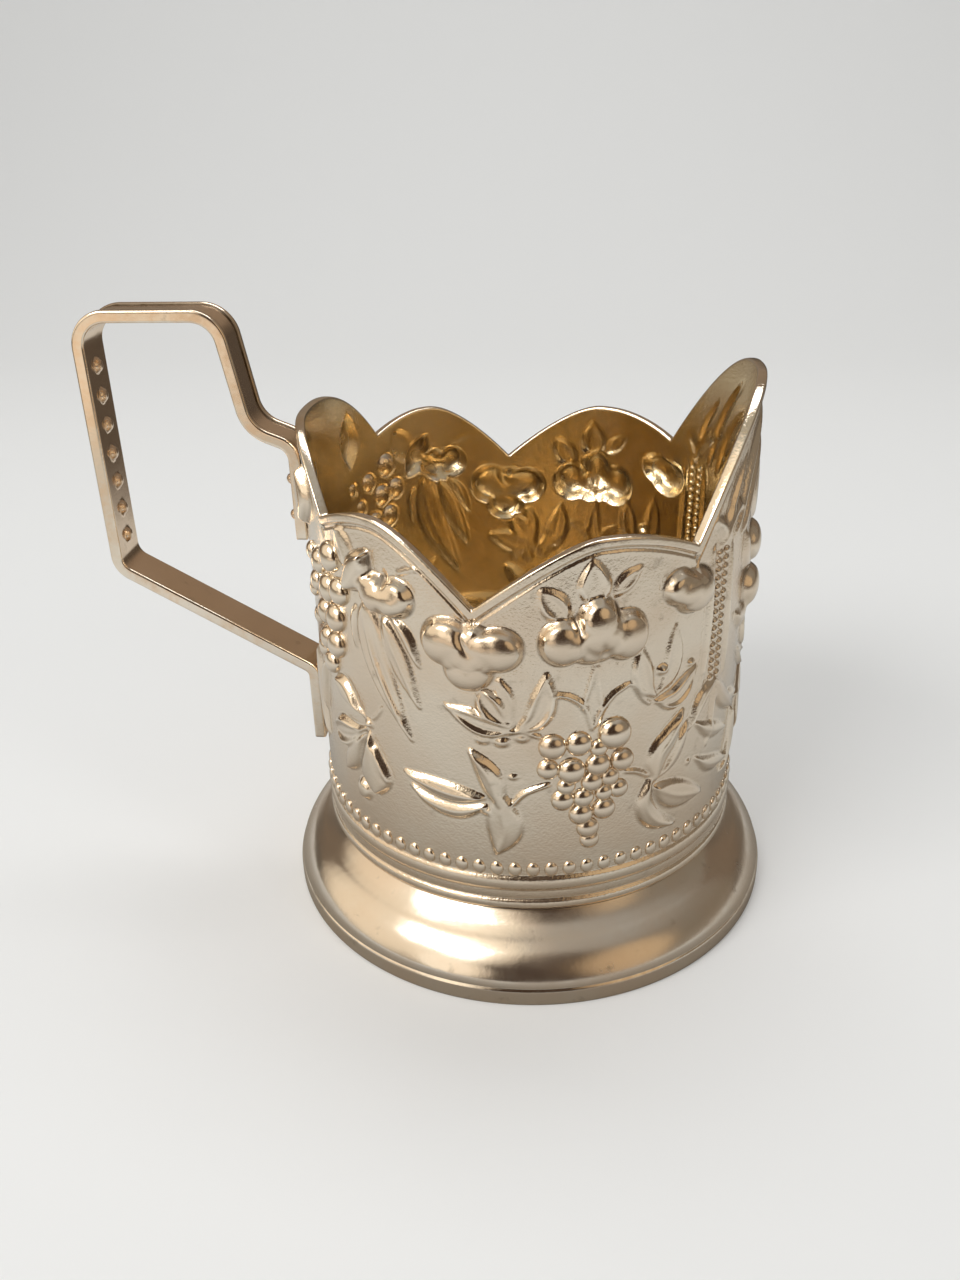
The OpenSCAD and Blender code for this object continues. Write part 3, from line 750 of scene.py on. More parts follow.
def plating_group():
    """Node group for old plating: tarnish together with painted shade in the recesses, worn crests, spots and
    fine grain.
    """
    group = bpy.data.node_groups.get("old plating")
    if group:
        return group
    group = bpy.data.node_groups.new("old plating", "ShaderNodeTree")
    for name in ("Plating", "Tarnish", "Worn"):
        socket(group, name, "NodeSocketColor")
    for name in ("Recess", "Crest", "Polish", "Grain"):
        socket(group, name, "NodeSocketFloat")
    socket(group, "Color", "NodeSocketColor", output=True)
    for name in ("Roughness", "Height"):
        socket(group, name, "NodeSocketFloat", output=True)
    enter = add_node(group, "NodeGroupInput").outputs
    leave = add_node(group, "NodeGroupOutput").inputs
    place = add_node(group, "ShaderNodeTexCoord").outputs["Object"]

    clouds = noise(group, place, 70.0, 4.0, 0.6)
    blotches = noise(group, place, 260.0, 4.0, 0.65)
    specks = noise(group, place, 900.0, 2.0, 0.5)
    pebbles = noise(group, place, 2600.0, 2.0, 0.6)

    # Tarnish together with painted shade darkens the recesses, and dirt lies in scattered spots
    darkening = maths(group, "MULTIPLY", enter["Recess"], maths(group, "ADD", 0.55, blotches))
    spots = maths(group, "MULTIPLY", map_range(group, blotches, 0.60, 0.74), SPOT_STRENGTH)
    spots = maths(group, "MULTIPLY", spots, maths(group, "ADD", 0.35, specks))
    darkening = maths(group, "ADD", darkening, spots, clamp=True)
    # The plating is clouded, and the crests are worn
    tint = map_range(group, clouds, 0.3, 0.7, 0.0, 0.35)
    warm = mix_colours(group, tint, enter["Plating"], CLOUD_TINT)
    worn = maths(group, "MULTIPLY", enter["Crest"], map_range(group, blotches, 0.35, 0.6), clamp=True)
    base = mix_colours(group, worn, warm, enter["Worn"])
    wire(group, mix_colours(group, darkening, base, enter["Tarnish"]), leave["Color"])

    # Darkened places, the painted shade among them, are duller, and worn metal brighter
    dull = maths(group, "ADD", enter["Polish"], map_range(group, clouds, 0.3, 0.7, -0.05, 0.09))
    dull = maths(group, "ADD", dull, maths(group, "MULTIPLY", darkening, 0.3))
    dull = maths(group, "SUBTRACT", dull, maths(group, "MULTIPLY", worn, 0.08), clamp=True)
    wire(group, dull, leave["Roughness"])

    grain = maths(group, "MULTIPLY", pebbles, enter["Grain"])
    wire(group, maths(group, "ADD", grain, maths(group, "MULTIPLY", specks, 0.4)), leave["Height"])
    return group


def attribute_value(tree, name):
    return add_node(tree, "ShaderNodeAttribute", attribute_name=name).outputs["Fac"]


# Height of the finest grain, in metres
BUMP_DISTANCE = 0.0001


def new_material(name):
    """Empty material with a Principled shader for metal, and its tree, shader and bump."""
    material = bpy.data.materials.new(name)
    material.use_nodes = True
    tree = material.node_tree
    shader = tree.nodes["Principled BSDF"]
    shader.inputs["Metallic"].default_value = 1.0
    bump = add_node(tree, "ShaderNodeBump", {"Distance": BUMP_DISTANCE})
    wire(tree, bump.outputs["Normal"], shader.inputs["Normal"])
    return material, tree, shader, bump


def rgba(colour):
    return (*colour, 1.0)


def plated_material(name, colour, sheet=False):
    """Plated metal. The sheet reads its relief, the other pieces their worn edges, from the mesh."""
    known = bpy.data.materials.get(name)
    if known:
        return known
    _, _, finish = settings()
    material, tree, shader, bump = new_material(name)
    plating = rgba(getattr(finish, colour))
    if sheet:
        inside, cavity = attribute_value(tree, "inside"), attribute_value(tree, "cavity")
        rise = attribute_value(tree, "rise")
        look = {
            "Plating": mix_colours(tree, inside, plating, rgba(finish.gold)),
            # Low cavity darkens the sheet: tarnish together with painted shade
            "Recess": map_range(tree, cavity, -0.05, -0.26, 0.0, 0.65),
            "Crest": map_range(tree, cavity, 0.03, 0.22),
            "Polish": map_range(tree, inside, 0.0, 1.0, 0.13, 0.17),
            "Grain": map_range(tree, rise, 0.0, 0.8, 1.0, 0.25),
        }
    else:
        edge = attribute_value(tree, "edge")
        look = {
            "Plating": plating,
            "Recess": map_range(tree, edge, -0.1, -1.0),
            "Crest": map_range(tree, edge, 0.1, 1.0),
            "Polish": 0.16,
            "Grain": 0.15,
        }
    look.update(Tarnish=rgba(finish.tarnish_and_shade), Worn=rgba(finish.worn))
    group = add_node(tree, "ShaderNodeGroup", node_tree=plating_group())
    for key, source in look.items():
        wire(tree, source, group.inputs[key])
    bump.inputs["Strength"].default_value = 0.6 if sheet else 0.3
    wire(tree, group.outputs["Color"], shader.inputs["Base Color"])
    wire(tree, group.outputs["Roughness"], shader.inputs["Roughness"])
    wire(tree, group.outputs["Height"], bump.inputs["Height"])
    return material


def bead_tree():
    """Geometry nodes that put a flattened bead on every point, square to the sheet."""
    tree = bpy.data.node_groups.get("beads on points")
    if tree:
        return tree
    tree = bpy.data.node_groups.new("beads on points", "GeometryNodeTree")
    socket(tree, "Geometry", "NodeSocketGeometry")
    for name in ("Segments", "Rings"):
        socket(tree, name, "NodeSocketInt", 12)
    for name in ("Flatness", "Tallness"):
        socket(tree, name, "NodeSocketFloat", 1.0)
    socket(tree, "Material", "NodeSocketMaterial")
    socket(tree, "Geometry", "NodeSocketGeometry", output=True)
    enter = add_node(tree, "NodeGroupInput").outputs
    leave = add_node(tree, "NodeGroupOutput").inputs
    size, facing = (
        add_node(tree, "GeometryNodeInputNamedAttribute", {"Name": name}, data_type=kind).outputs["Attribute"]
        for name, kind in (("size", "FLOAT"), ("facing", "FLOAT_VECTOR")))
    bead = add_node(tree, "GeometryNodeMeshUVSphere",
                    {"Radius": 1.0, "Segments": enter["Segments"], "Rings": enter["Rings"]})
    turn = add_node(tree, "FunctionNodeAlignRotationToVector", {"Vector": facing}, axis="X", pivot_axis="Z")
    flat, tall = (maths(tree, "MULTIPLY", size, enter[name]) for name in ("Flatness", "Tallness"))
    scale = add_node(tree, "ShaderNodeCombineXYZ", {"X": flat, "Y": size, "Z": tall})
    instances = add_node(tree, "GeometryNodeInstanceOnPoints", {
        "Points": enter["Geometry"], "Instance": bead.outputs["Mesh"],
        "Rotation": turn.outputs["Rotation"], "Scale": scale.outputs["Vector"]})
    smooth = add_node(tree, "GeometryNodeSetShadeSmooth", {"Geometry": instances.outputs["Instances"]})
    real = add_node(tree, "GeometryNodeRealizeInstances", {"Geometry": smooth.outputs["Geometry"]})
    finish = add_node(tree, "GeometryNodeSetMaterial",
                      {"Geometry": real.outputs["Geometry"], "Material": enter["Material"]})
    wire(tree, finish.outputs["Geometry"], leave["Geometry"])
    return tree


# Wear of the beads, from -1 for a dirty groove to 1 for a worn edge
BEAD_WEAR = 0.4


def beads(name, spots, material, node, slot, **inputs):
    """A group of beads as one plain mesh. Each spot is a point, an outward direction and a radius."""
    mesh = bpy.data.meshes.new(name)
    mesh.from_pydata([tuple(np.array(point) * MM) for point, _, _ in spots], [], [])
    point_attribute(mesh, "size", [radius * MM for _, _, radius in spots])
    facing = mesh.attributes.new("facing", "FLOAT_VECTOR", "POINT")
    facing.data.foreach_set("vector", np.array([out for _, out, _ in spots], np.float32).ravel())
    holder = linked(name + "_points", mesh)
    tree = bead_tree()
    modifier = holder.modifiers.new("beads", "NODES")
    modifier.node_group = tree
    identifiers = {item.name: item.identifier for item in tree.interface.items_tree
                   if item.in_out == "INPUT"}
    for key, value in {**inputs, "Material": material}.items():
        modifier[identifiers[key]] = value
    bpy.context.view_layer.update()
    depsgraph = bpy.context.evaluated_depsgraph_get()
    result = bpy.data.meshes.new_from_object(holder.evaluated_get(depsgraph), depsgraph=depsgraph)
    result.name = name
    bpy.data.objects.remove(holder)
    for unused in ("size", "facing"):
        if unused in result.attributes:
            result.attributes.remove(result.attributes[unused])
    if not result.polygons:
        raise RuntimeError(f"{name}: the node tree made no beads")
    point_attribute(result, "edge", np.full(len(result.vertices), BEAD_WEAR))
    finished(result, None, node, slot)


def on_sheet(azimuth, height, radius, side=1):
    """Point on the sleeve and its outward direction. Side -1 is the mirrored half."""
    angle = math.radians(azimuth) * side
    out = (math.cos(angle), math.sin(angle), 0.0)
    return (radius * out[0], radius * out[1], height), out


class HOLDER_OT_beads(Operator):
    """Build the row of beads, the grapes and the beaded ears"""

    bl_idname = "holder.beads"
    bl_label = "Beads and grapes"

    def execute(self, context):
        sizes, _, _ = settings()
        radius = (sizes.bore + sizes.wall) / MM
        material = plated_material("silver gilt beads", "silver")
        level, half = sizes.bead_height / MM, sizes.bead_width / MM / 2
        row = [(*on_sheet(360 * index / sizes.beads, level, radius), half) for index in range(sizes.beads)]
        grapes, grains = [], []
        for side in (-1, 1):
            for azimuth, height, size in GRAPES:
                grapes.append((*on_sheet(azimuth, height, radius, side), size))
            for azimuth in EAR_ROWS:
                for height in EAR_HEIGHTS:
                    grains.append((*on_sheet(azimuth, height, radius, side), GRAIN_RADIUS))
        for name, spots, segments, rings, flatness, tallness in (
                ("bead_row", row, 12, 8, 0.5, 1.25),
                ("grapes", grapes, 24, 14, 0.66, 1.0),
                ("ear_grains", grains, 12, 8, 0.55, 0.86)):
            beads(name, spots, material, "sleeve", "silver_gilt",
                  Segments=segments, Rings=rings, Flatness=flatness, Tallness=tallness)
        return {"FINISHED"}


# Points of a revolved profile that are closer than this, in metres, are one
POLE_REACH = 1e-7


def revolved(name, profile, steps, wear, ring=True):
    """Ring from a closed profile of radii and heights, or a disc from one that starts and ends on the axis,
    with the wear of each of its points."""
    profile = np.array(profile, float)
    angle = np.linspace(0, 2 * math.pi, steps, endpoint=False)
    points = np.stack([profile[:, 0, None] * np.cos(angle), profile[:, 0, None] * np.sin(angle),
                       profile[:, 1, None] + 0 * angle], 2)
    mesh = new_mesh(name, points.reshape(-1, 3), grid_quads(len(profile), steps, ring, True))
    point_attribute(mesh, "edge", np.repeat(wear, steps))
    if not ring:
        poles = bmesh.new()
        poles.from_mesh(mesh)
        bmesh.ops.remove_doubles(poles, verts=poles.verts, dist=POLE_REACH)
        poles.to_mesh(mesh)
        poles.free()
    return mesh


# Outline of the foot from the table up to its neck, as radii and heights. It breaks at one point, where the
# lip ends
FOOT_OUTLINE = (
    (41.05, 0.0), (41.22, 0.5), (41.24, 2.3), (41.15, 2.75), (40.95, 3.05),
    (40.9, 3.5), (40.55, 4.5), (39.7, 5.95), (38.5, 7.35), (37.15, 8.45),
    (36.0, 9.2), (34.8, 10.1), (33.7, 11.2), (33.0, 12.05), (33.0, 12.6), (33.35, 12.95),
)
LIP_END = 4
NECK_RADIUS = 33.38
# Thickness of the spun sheet, inwards and downwards
FOOT_WALL = np.array([1.0, 0.6])
# Where the foot is worn or dirty: height, wear and half width
FOOT_WEAR = ((2.9, 0.9, 0.5), (12.5, -0.8, 0.7), (0.1, -0.3, 0.3))


class HOLDER_OT_foot(Operator):
    """Build the spun foot"""

    bl_idname = "holder.foot"
    bl_label = "Foot"

    steps = 320
    curve_steps = 6

    def execute(self, context):
        points = np.array(FOOT_OUTLINE)
        outline = np.vstack([smooth_line(points[:LIP_END + 1], self.curve_steps)[:-1],
                             smooth_line(points[LIP_END:], self.curve_steps)])
        inner = outline - FOOT_WALL
        inner[:, 1] = np.maximum(inner[:, 1], 0)
        neck_top = top_mm("foot")
        neck = [(NECK_RADIUS, neck_top), (NECK_RADIUS - FOOT_WALL[0], neck_top)]
        profile = np.vstack([outline, neck, inner[::-1]])
        wear = np.zeros(len(profile))
        for level, value, half in FOOT_WEAR:
            wear[:len(outline)] += value * np.exp(-((outline[:, 1] - level) / half) ** 2)
        mesh = revolved("foot_shell", profile, self.steps, wear)
        finished(mesh, plated_material("spun foot plating", "foot"), "foot", "foot_gilt")
        return {"FINISHED"}


class HOLDER_OT_floor(Operator):
    """Build the plate that the glass stands on"""

    bl_idname = "holder.floor"
    bl_label = "Floor plate"

    steps = 192
    chamfer = 0.2
    # Raised middle: its rise and radius, the width of its slope, and a turned line that stays dirty
    boss_rise = 0.6
    boss_radius = 21.5
    boss_slope = 3.0
    line_radius = 11.6
    line_half_width = 0.4
    line_depth = 0.12
    line_wear = -0.8
    # Rings of points that keep the flat faces even: inside the edge, and around the axis below and above
    rim_ring = 3.0
    axis_rings = (3.0, 5.0)

    def execute(self, context):
        low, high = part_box("floor_plate")
        radius, bottom, top = high.x / MM, low.z / MM, high.z / MM
        face, cut, line, half = top - self.boss_rise, self.chamfer, self.line_radius, self.line_half_width
        profile = [(0.0, bottom), (self.axis_rings[0], bottom), (radius - cut, bottom),
                   (radius, bottom + cut), (radius, face - cut), (radius - cut, face),
                   (radius - self.rim_ring, face)]
        for share in np.linspace(0, 1, 9):
            profile.append((self.boss_radius - self.boss_slope * share,
                            face + self.boss_rise * float(smooth_step(share, 0, 1))))
        profile += [(line + half, top), (line, top - self.line_depth), (line - half, top),
                    (self.axis_rings[1], top), (0.0, top)]
        profile = np.array(profile)
        wear = np.where(np.abs(profile[:, 0] - line) < half / 2, self.line_wear, 0.0)
        mesh = revolved("floor_disc", profile, self.steps, wear, ring=False)
        finished(mesh, plated_material("inner gold plating", "gold"), "floor_plate", "inner_gilt")
        return {"FINISHED"}


# Corners of the strap's middle line from the end of its upper leg, as x, z and inner radius of the bend
STRAP_PATH = (
    (-36.1, 60.4, 0), (-36.1, 75.4, 2.2), (-43.0, 78.1, 5.0), (-46.06, 95.2, 3.7), (-67.4, 95.2, 3.9),
    (-67.4, 54.8, 2.52), (-36.1, 36.6, 1.6), (-36.1, 23.2, 0),
)
# Places of the legs and the grip along x, and heights of the grip's middle bead and the beads on the legs
LEGS_X, GRIP_X = STRAP_PATH[0][0], STRAP_PATH[4][0]
GRIP_MIDDLE = 73.45
LEG_STUDS = (69.4, 63.4, 30.57, 24.94)


class HOLDER_OT_strap(Operator):
    """Build the bent strap handle with its beads"""

    bl_idname = "holder.strap"
    bl_label = "Handle"

    # Spacing of the stations along the strap
    station = 0.3
    # Rounding of the edges, slope of the raised lines, and the place, depth and width of the groove at each
    corner = 0.35
    line_slope = 0.25
    groove_gap = 0.35
    groove_depth = 0.1
    groove_width = 0.2
    # Width and wear of the edges, and half width and dirt of the grooves
    worn_width = 0.45
    edge_wear = 0.9
    dirty_reach = 0.25
    groove_wear = -0.8
    # Heights of the beads on the grip and the legs and depth of the dimples, as shares of the beads' radius
    grip_bead = 0.72
    leg_bead = 1.35
    dimple = 0.6

    def execute(self, context):
        _, sizes, _ = settings()
        self.half_width = sizes.width / MM / 2
        self.half = sizes.thickness / MM / 2
        self.line_width = sizes.line_width / MM
        self.line_rise = sizes.line_rise / MM
        self.stud = sizes.stud / MM
        grip = [GRIP_MIDDLE + sizes.stud_pitch / MM * (i - (sizes.studs - 1) / 2) for i in range(sizes.studs)]
        centre, heading = self.middle_line()
        outline, wear = self.cross_section()
        across, depth = outline[:, 0], outline[:, 1]
        # Each station carries the whole outline. Depth runs to the outside of the handle
        reach = depth[None] + self.pressed(centre, across, depth, grip)
        x = centre[:, 0, None] + heading[:, 1, None] * reach
        z = centre[:, 1, None] - heading[:, 0, None] * reach
        points = np.stack([x, across[None] + 0 * x, z], 2)
        count, last = len(outline), len(centre) - 1
        mesh = new_mesh("strap_handle", points.reshape(-1, 3), grid_quads(len(centre), count, False, True))
        point_attribute(mesh, "edge", np.tile(wear, len(centre)))
        close_ends(mesh, [list(range(count))[::-1], [last * count + i for i in range(count)]])
        finished(mesh, plated_material("strap plating", "strap"), "handle", "strap_gilt")
        return {"FINISHED"}

    def middle_line(self):
        """Points and headings along the strap's middle, with round bends."""
        corners = np.array([c[:2] for c in STRAP_PATH], float)
        points = [corners[0]]
        for index in range(1, len(corners) - 1):
            before, here, after = corners[index - 1:index + 2]
            d1 = (here - before) / np.linalg.norm(here - before)
            d2 = (after - here) / np.linalg.norm(after - here)
            angle = math.acos(float(np.clip(d1 @ d2, -1, 1)))
            radius = STRAP_PATH[index][2] + self.half
            turn = np.sign(d1[0] * d2[1] - d1[1] * d2[0])
            start = here - d1 * radius * math.tan(angle / 2)
            middle = start + np.array([-d1[1], d1[0]]) * radius * turn
            steps = max(4, int(radius * angle / self.station))
            for share in np.linspace(0, 1, steps + 1):
                a = turn * angle * share
                spoke = start - middle
                points.append(middle + np.array([spoke[0] * math.cos(a) - spoke[1] * math.sin(a),
                                                 spoke[0] * math.sin(a) + spoke[1] * math.cos(a)]))
        points.append(corners[-1])
        line = [points[0]]
        for first, second in zip(points, points[1:]):
            steps = max(1, int(np.linalg.norm(second - first) / self.station))
            for share in np.linspace(0, 1, steps + 1)[1:]:
                line.append(first + (second - first) * share)
        line = np.array(line)
        heading = np.gradient(line, axis=0)
        return line, heading / np.linalg.norm(heading, axis=1, keepdims=True)

    def cross_section(self):
        """Outline of the strap as places across it and depths, and the wear of its points."""
        w, h, r = self.half_width, self.half, self.corner
        line = w - self.line_width
        groove = line - self.groove_gap
        outer = np.linspace(-w + r, w - r, 35)
        raised = h + self.line_rise * smooth_step(np.abs(outer), line - self.line_slope, line)
        raised -= self.groove_depth * np.exp(-((np.abs(outer) - groove) / self.groove_width) ** 2)
        top = h + self.line_rise
        corner = [(w - r + r * math.sin(a), top - r + r * math.cos(a)) for a in np.linspace(0.3, 1.57, 5)]
        side = [(w, share) for share in np.linspace(top - r - 0.2, -h + r + 0.2, 4)]
        below = [(w - r + r * math.cos(a), -h + r - r * math.sin(a)) for a in np.linspace(0, 1.4, 5)]
        inner = np.linspace(w - r - 0.1, -w + r + 0.1, 33)
        right = corner + side + below
        left = [(-x, d) for x, d in right[::-1]]
        outline = np.array([*zip(outer, raised), *right, *((x, -h) for x in inner), *left])
        from_middle = np.abs(outline[:, 0])
        wear = np.where(from_middle > w - self.worn_width, self.edge_wear, 0.0)
        wear[(np.abs(from_middle - groove) < self.dirty_reach) & (outline[:, 1] > 0)] = self.groove_wear
        return outline, wear

    def pressed(self, centre, across, depth, grip):
        """Beads that stand into the loop of the handle and the dimples behind them on the grip."""
        change = np.zeros((len(centre), len(across)))
        outside, inside = depth > 0.1, depth < -0.1
        for column, levels, height in ((GRIP_X, grip, self.grip_bead), (LEGS_X, LEG_STUDS, self.leg_bead)):
            for level in levels:
                away = np.hypot(centre[:, 1] - level, (centre[:, 0] - column) * 3)
                share = np.hypot(away[:, None], across[None]) / self.stud
                bump = self.stud * np.sqrt(np.clip(1 - share ** 2, 0, 1))
                change -= np.where(inside[None], bump * height, 0)
                if column == GRIP_X:
                    change -= np.where(outside[None], bump * self.dimple, 0)
        return change


class HOLDER_OT_solder(Operator):
    """Finish the solder joints, which keep their solids"""

    bl_idname = "holder.solder"
    bl_label = "Solder"

    def execute(self, context):
        _, _, finish = settings()
        material, tree, shader, bump = new_material("soft solder")
        place = add_node(tree, "ShaderNodeTexCoord").outputs["Object"]
        lumps = noise(tree, place, 500.0, 3.0)
        darkening = map_range(tree, lumps, 0.35, 0.7)
        shade = mix_colours(tree, darkening, rgba(finish.solder), rgba(finish.tarnish_and_shade))
        wire(tree, shade, shader.inputs["Base Color"])
        wire(tree, map_range(tree, lumps, 0.3, 0.7, 0.35, 0.6), shader.inputs["Roughness"])
        wire(tree, lumps, bump.inputs["Height"])
        for name in ("seam_solder", "foot_solder", "floor_solder", "upper_leg_solder", "lower_leg_solder"):
            node = frame["nodes"][name]
            if not node.material_slots:
                node.data.materials.append(material)
            for entry in node.material_slots:
                entry.material = material
        return {"FINISHED"}


# The photograph's viewpoint: the camera's place in millimetres and its forward, right and up directions
CAMERA_PLACE = (9.296, -163.161, 124.335)
CAMERA_FORWARD = (-0.094145, 0.886965, -0.452139)
CAMERA_RIGHT = (0.995291, 0.094381, -0.022091)
CAMERA_UP = (-0.023079, 0.452089, 0.891674)
LENS_MM = 30.59
SENSOR_MM = 36.0
CLIP_START = 0.01

# Soft lamps: name, place and target in metres, width, height, power and whether the metal mirrors it
LAMPS = (
    ("key", (-0.46, -0.50, 0.66), (0.0, 0.0, 0.05), 0.50, 0.36, 3.6, True),
    ("fill", (0.62, -0.42, 0.40), (0.0, 0.0, 0.05), 0.12, 0.40, 0.6, False),
    ("top", (0.05, 0.30, 0.80), (0.0, 0.0, 0.04), 0.60, 0.30, 1.9, True),
)

# Floor and backdrop: nearest and furthest place, radius of the bend between them, height and half width
SWEEP = (-1600.0, 900.0, 500.0, 1800.0, 2200.0)
# Light that the floor adds for the camera alone
FLOOR_LIFT = 0.05
# Colour of the room, except in the metal
PALE_ROOM = (0.43, 0.43, 0.425, 1)

# What the metal mirrors: the floor by distance in metres, the wall and the heights in metres over which the
# floor turns into it, and the room by the height of the direction
# Close to the object the mirrored floor is darker, a painted contact shadow that shows only in the metal
MIRRORED_FLOOR = (
    (0.04, (0.30, 0.27, 0.23, 1)), (0.08, (0.58, 0.57, 0.55, 1)), (0.15, (0.72, 0.71, 0.69, 1)),
    (0.22, (0.62, 0.60, 0.56, 1)), (0.38, (0.32, 0.27, 0.215, 1)), (1.0, (0.26, 0.215, 0.17, 1)),
)
MIRRORED_WALL = (0.43, 0.32, 0.23, 1)
WALL_HEIGHTS = (0.05, 0.6)
MIRRORED_ROOM = (
    (0.0, (0.27, 0.225, 0.175, 1)), (0.25, (0.23, 0.19, 0.145, 1)), (0.6, (0.26, 0.225, 0.185, 1)),
    (0.88, (0.42, 0.40, 0.37, 1)), (1.0, (0.42, 0.385, 0.33, 1)),
)
# Glows and shades in that floor and that room: direction, cosines over which they fade in, on the floor also
# the distances over which they do, and colour
FLOOR_GLOWS = (
    ((0.17, -0.98, 0.0), (0.70, 0.90), (0.20, 0.40), (0.09, 0.062, 0.044, 1)),
    ((-0.50, -0.87, 0.0), (0.86, 0.98), (0.20, 0.40), (0.80, 0.66, 0.52, 1)),
    ((0.25, 0.97, 0.0), (0.91, 0.97), (0.13, 0.22), (0.10, 0.078, 0.06, 1)),
)
ROOM_GLOWS = (
    ((0.17, -0.94, 0.30), (0.745, 0.89), (0.055, 0.034, 0.023, 1)),
    ((-0.72, -0.36, 0.58), (0.76, 0.92), (0.95, 0.81, 0.63, 1)),
    ((-0.42, -0.50, 0.75), (0.84, 0.97), (1.2, 1.05, 0.84, 1)),
    ((-0.90, -0.15, 0.38), (0.80, 0.97), (1.0, 0.85, 0.66, 1)),
    ((-0.50, -0.83, 0.24), (0.94, 0.985), (1.25, 1.1, 0.9, 1)),
    ((0.70, -0.62, 0.34), (0.90, 0.97), (0.62, 0.46, 0.29, 1)),
)


def towards(tree, place, direction, cosines):
    """1 where a place, seen from the middle, lies in a direction, and 0 away from it."""
    even = add_node(tree, "ShaderNodeVectorMath", {0: place}, operation="NORMALIZE").outputs["Vector"]
    dot = add_node(tree, "ShaderNodeVectorMath", {0: even, 1: Vector(direction).normalized()},
                   operation="DOT_PRODUCT")
    return map_range(tree, dot.outputs["Value"], *cosines)


def height_of(tree, place):
    return add_node(tree, "ShaderNodeSeparateXYZ", {0: place}).outputs["Z"]


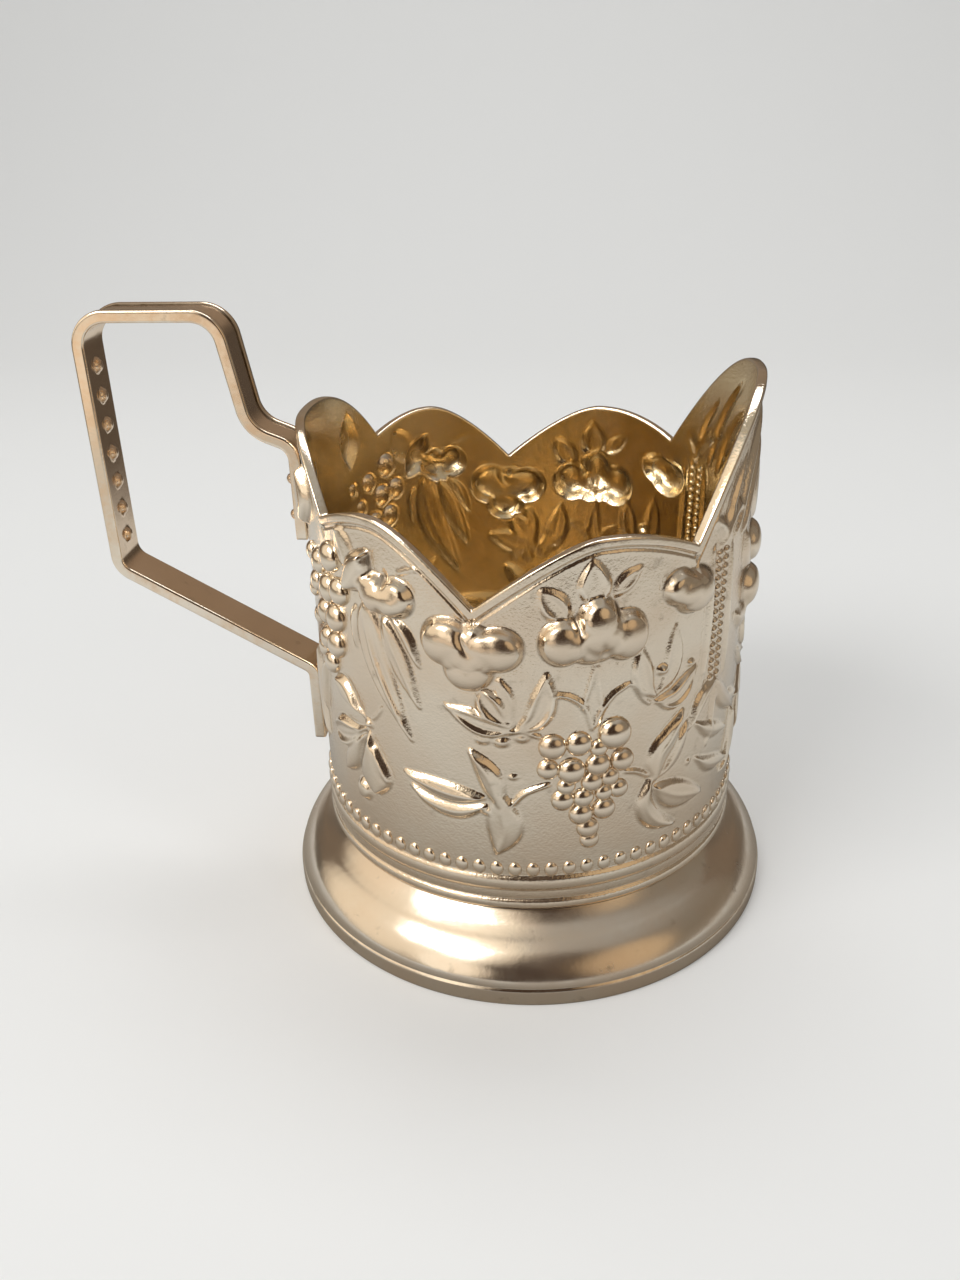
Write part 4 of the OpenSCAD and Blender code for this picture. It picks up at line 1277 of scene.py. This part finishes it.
class HOLDER_OT_stage(Operator):
    """Build the floor, the backdrop, the lamps and the camera"""

    bl_idname = "holder.stage"
    bl_label = "Stage"

    def execute(self, context):
        self.sweep()
        self.camera()
        self.world()
        for lamp in LAMPS:
            self.lamp(*lamp)
        return {"FINISHED"}

    def sweep(self):
        """Floor that curves up into the backdrop."""
        near, far, bend, high, half = SWEEP
        profile = [(near, 0.0)]
        for turn in np.linspace(0, math.pi / 2, 17):
            profile.append((far - bend + bend * math.sin(turn), bend - bend * math.cos(turn)))
        profile.append((far, high))
        points = [(x, y, z) for y, z in profile for x in (-half, half)]
        mesh = new_mesh("floor_sweep", np.array(points), grid_quads(len(profile), 2, False, False)[:, ::-1])
        mesh.materials.append(self.floor_material())
        linked("floor_sweep", mesh)

    def floor_material(self):
        """Even pale floor. The metal mirrors a dim one with glows and shades."""
        _, _, finish = settings()
        material = bpy.data.materials.new("pale floor")
        material.use_nodes = True
        tree = material.node_tree
        path = add_node(tree, "ShaderNodeLightPath").outputs
        place = add_node(tree, "ShaderNodeTexCoord").outputs["Object"]
        away = add_node(tree, "ShaderNodeVectorMath", {0: place}, operation="LENGTH").outputs["Value"]
        mirrored = colour_ramp(tree, away, MIRRORED_FLOOR)
        for direction, cosines, distances, colour in FLOOR_GLOWS:
            glow = towards(tree, place, direction, cosines)
            glow = maths(tree, "MULTIPLY", glow, map_range(tree, away, *distances))
            mirrored = mix_colours(tree, glow, mirrored, colour)
        wall = map_range(tree, height_of(tree, place), *WALL_HEIGHTS)
        mirrored = mix_colours(tree, wall, mirrored, MIRRORED_WALL)
        shader = tree.nodes["Principled BSDF"].inputs
        shade = mix_colours(tree, path["Is Glossy Ray"], rgba(finish.ground), mirrored)
        wire(tree, shade, shader["Base Color"])
        wire(tree, 0.85, shader["Roughness"])
        wire(tree, 0.2, shader["Specular IOR Level"])
        wire(tree, (1, 1, 1, 1), shader["Emission Color"])
        wire(tree, maths(tree, "MULTIPLY", path["Is Camera Ray"], FLOOR_LIFT), shader["Emission Strength"])
        return material

    def camera(self):
        data = bpy.data.cameras.new("camera")
        data.lens = LENS_MM
        data.sensor_width = SENSOR_MM
        data.clip_start = CLIP_START
        camera = linked("camera", data)
        axes = Matrix((CAMERA_RIGHT, CAMERA_UP, [-v for v in CAMERA_FORWARD])).transposed().to_4x4()
        camera.matrix_world = Matrix.Translation(Vector(CAMERA_PLACE) * MM) @ axes
        bpy.context.scene.camera = camera

    def world(self):
        """Even pale room. The metal mirrors a dim warm one with glows and shades, so that its shapes show."""
        world = bpy.data.worlds.new("studio")
        world.use_nodes = True
        tree = world.node_tree
        place = add_node(tree, "ShaderNodeTexCoord").outputs["Generated"]
        room = colour_ramp(tree, height_of(tree, place), MIRRORED_ROOM)
        for direction, cosines, colour in ROOM_GLOWS:
            room = mix_colours(tree, towards(tree, place, direction, cosines), room, colour)
        mirrored = add_node(tree, "ShaderNodeLightPath").outputs["Is Glossy Ray"]
        background = tree.nodes["Background"].inputs
        wire(tree, mix_colours(tree, mirrored, PALE_ROOM, room), background["Color"])
        wire(tree, 1.0, background["Strength"])
        bpy.context.scene.world = world

    def lamp(self, name, place, target, width, height, power, mirrored):
        data = bpy.data.lights.new(name, "AREA")
        data.shape = "RECTANGLE"
        data.size = width
        data.size_y = height
        data.energy = power
        lamp = linked(name, data)
        lamp.location = place
        lamp.visible_glossy = mirrored
        lamp.rotation_euler = (Vector(target) - Vector(place)).to_track_quat("-Z", "Y").to_euler()


class HOLDER_PT_panel(Panel):
    """Sizes, colours and steps of the tea glass holder"""

    bl_label = "Tea Glass Holder"
    bl_idname = "HOLDER_PT_panel"
    bl_space_type = "VIEW_3D"
    bl_region_type = "UI"
    bl_category = "Tea Glass Holder"

    def draw(self, context):
        for group in settings():
            box = self.layout.box()
            for name in group.bl_rna.properties.keys():
                if name not in ("rna_type", "name"):
                    box.prop(group, name)
        for operator in OPERATORS:
            self.layout.operator(operator.bl_idname)


GROUPS = (SleeveSizes, StrapSizes, FinishColours)
OPERATORS = (HOLDER_OT_sleeve, HOLDER_OT_beads, HOLDER_OT_foot, HOLDER_OT_floor, HOLDER_OT_strap,
             HOLDER_OT_solder, HOLDER_OT_stage)


def register():
    for item in (*GROUPS, *OPERATORS, HOLDER_PT_panel):
        bpy.utils.register_class(item)
    bpy.types.Scene.holder_sleeve = PointerProperty(type=SleeveSizes)
    bpy.types.Scene.holder_strap = PointerProperty(type=StrapSizes)
    bpy.types.Scene.holder_finish = PointerProperty(type=FinishColours)


def unregister():
    for name in ("holder_sleeve", "holder_strap", "holder_finish"):
        delattr(bpy.types.Scene, name)
    for item in reversed((*GROUPS, *OPERATORS, HOLDER_PT_panel)):
        bpy.utils.unregister_class(item)


def main():
    register()
    bpy.context.scene.view_settings.view_transform = "Standard"
    for operator in OPERATORS:
        group, step = operator.bl_idname.split(".")
        getattr(getattr(bpy.ops, group), step)()


if __name__ == "__main__":
    main()
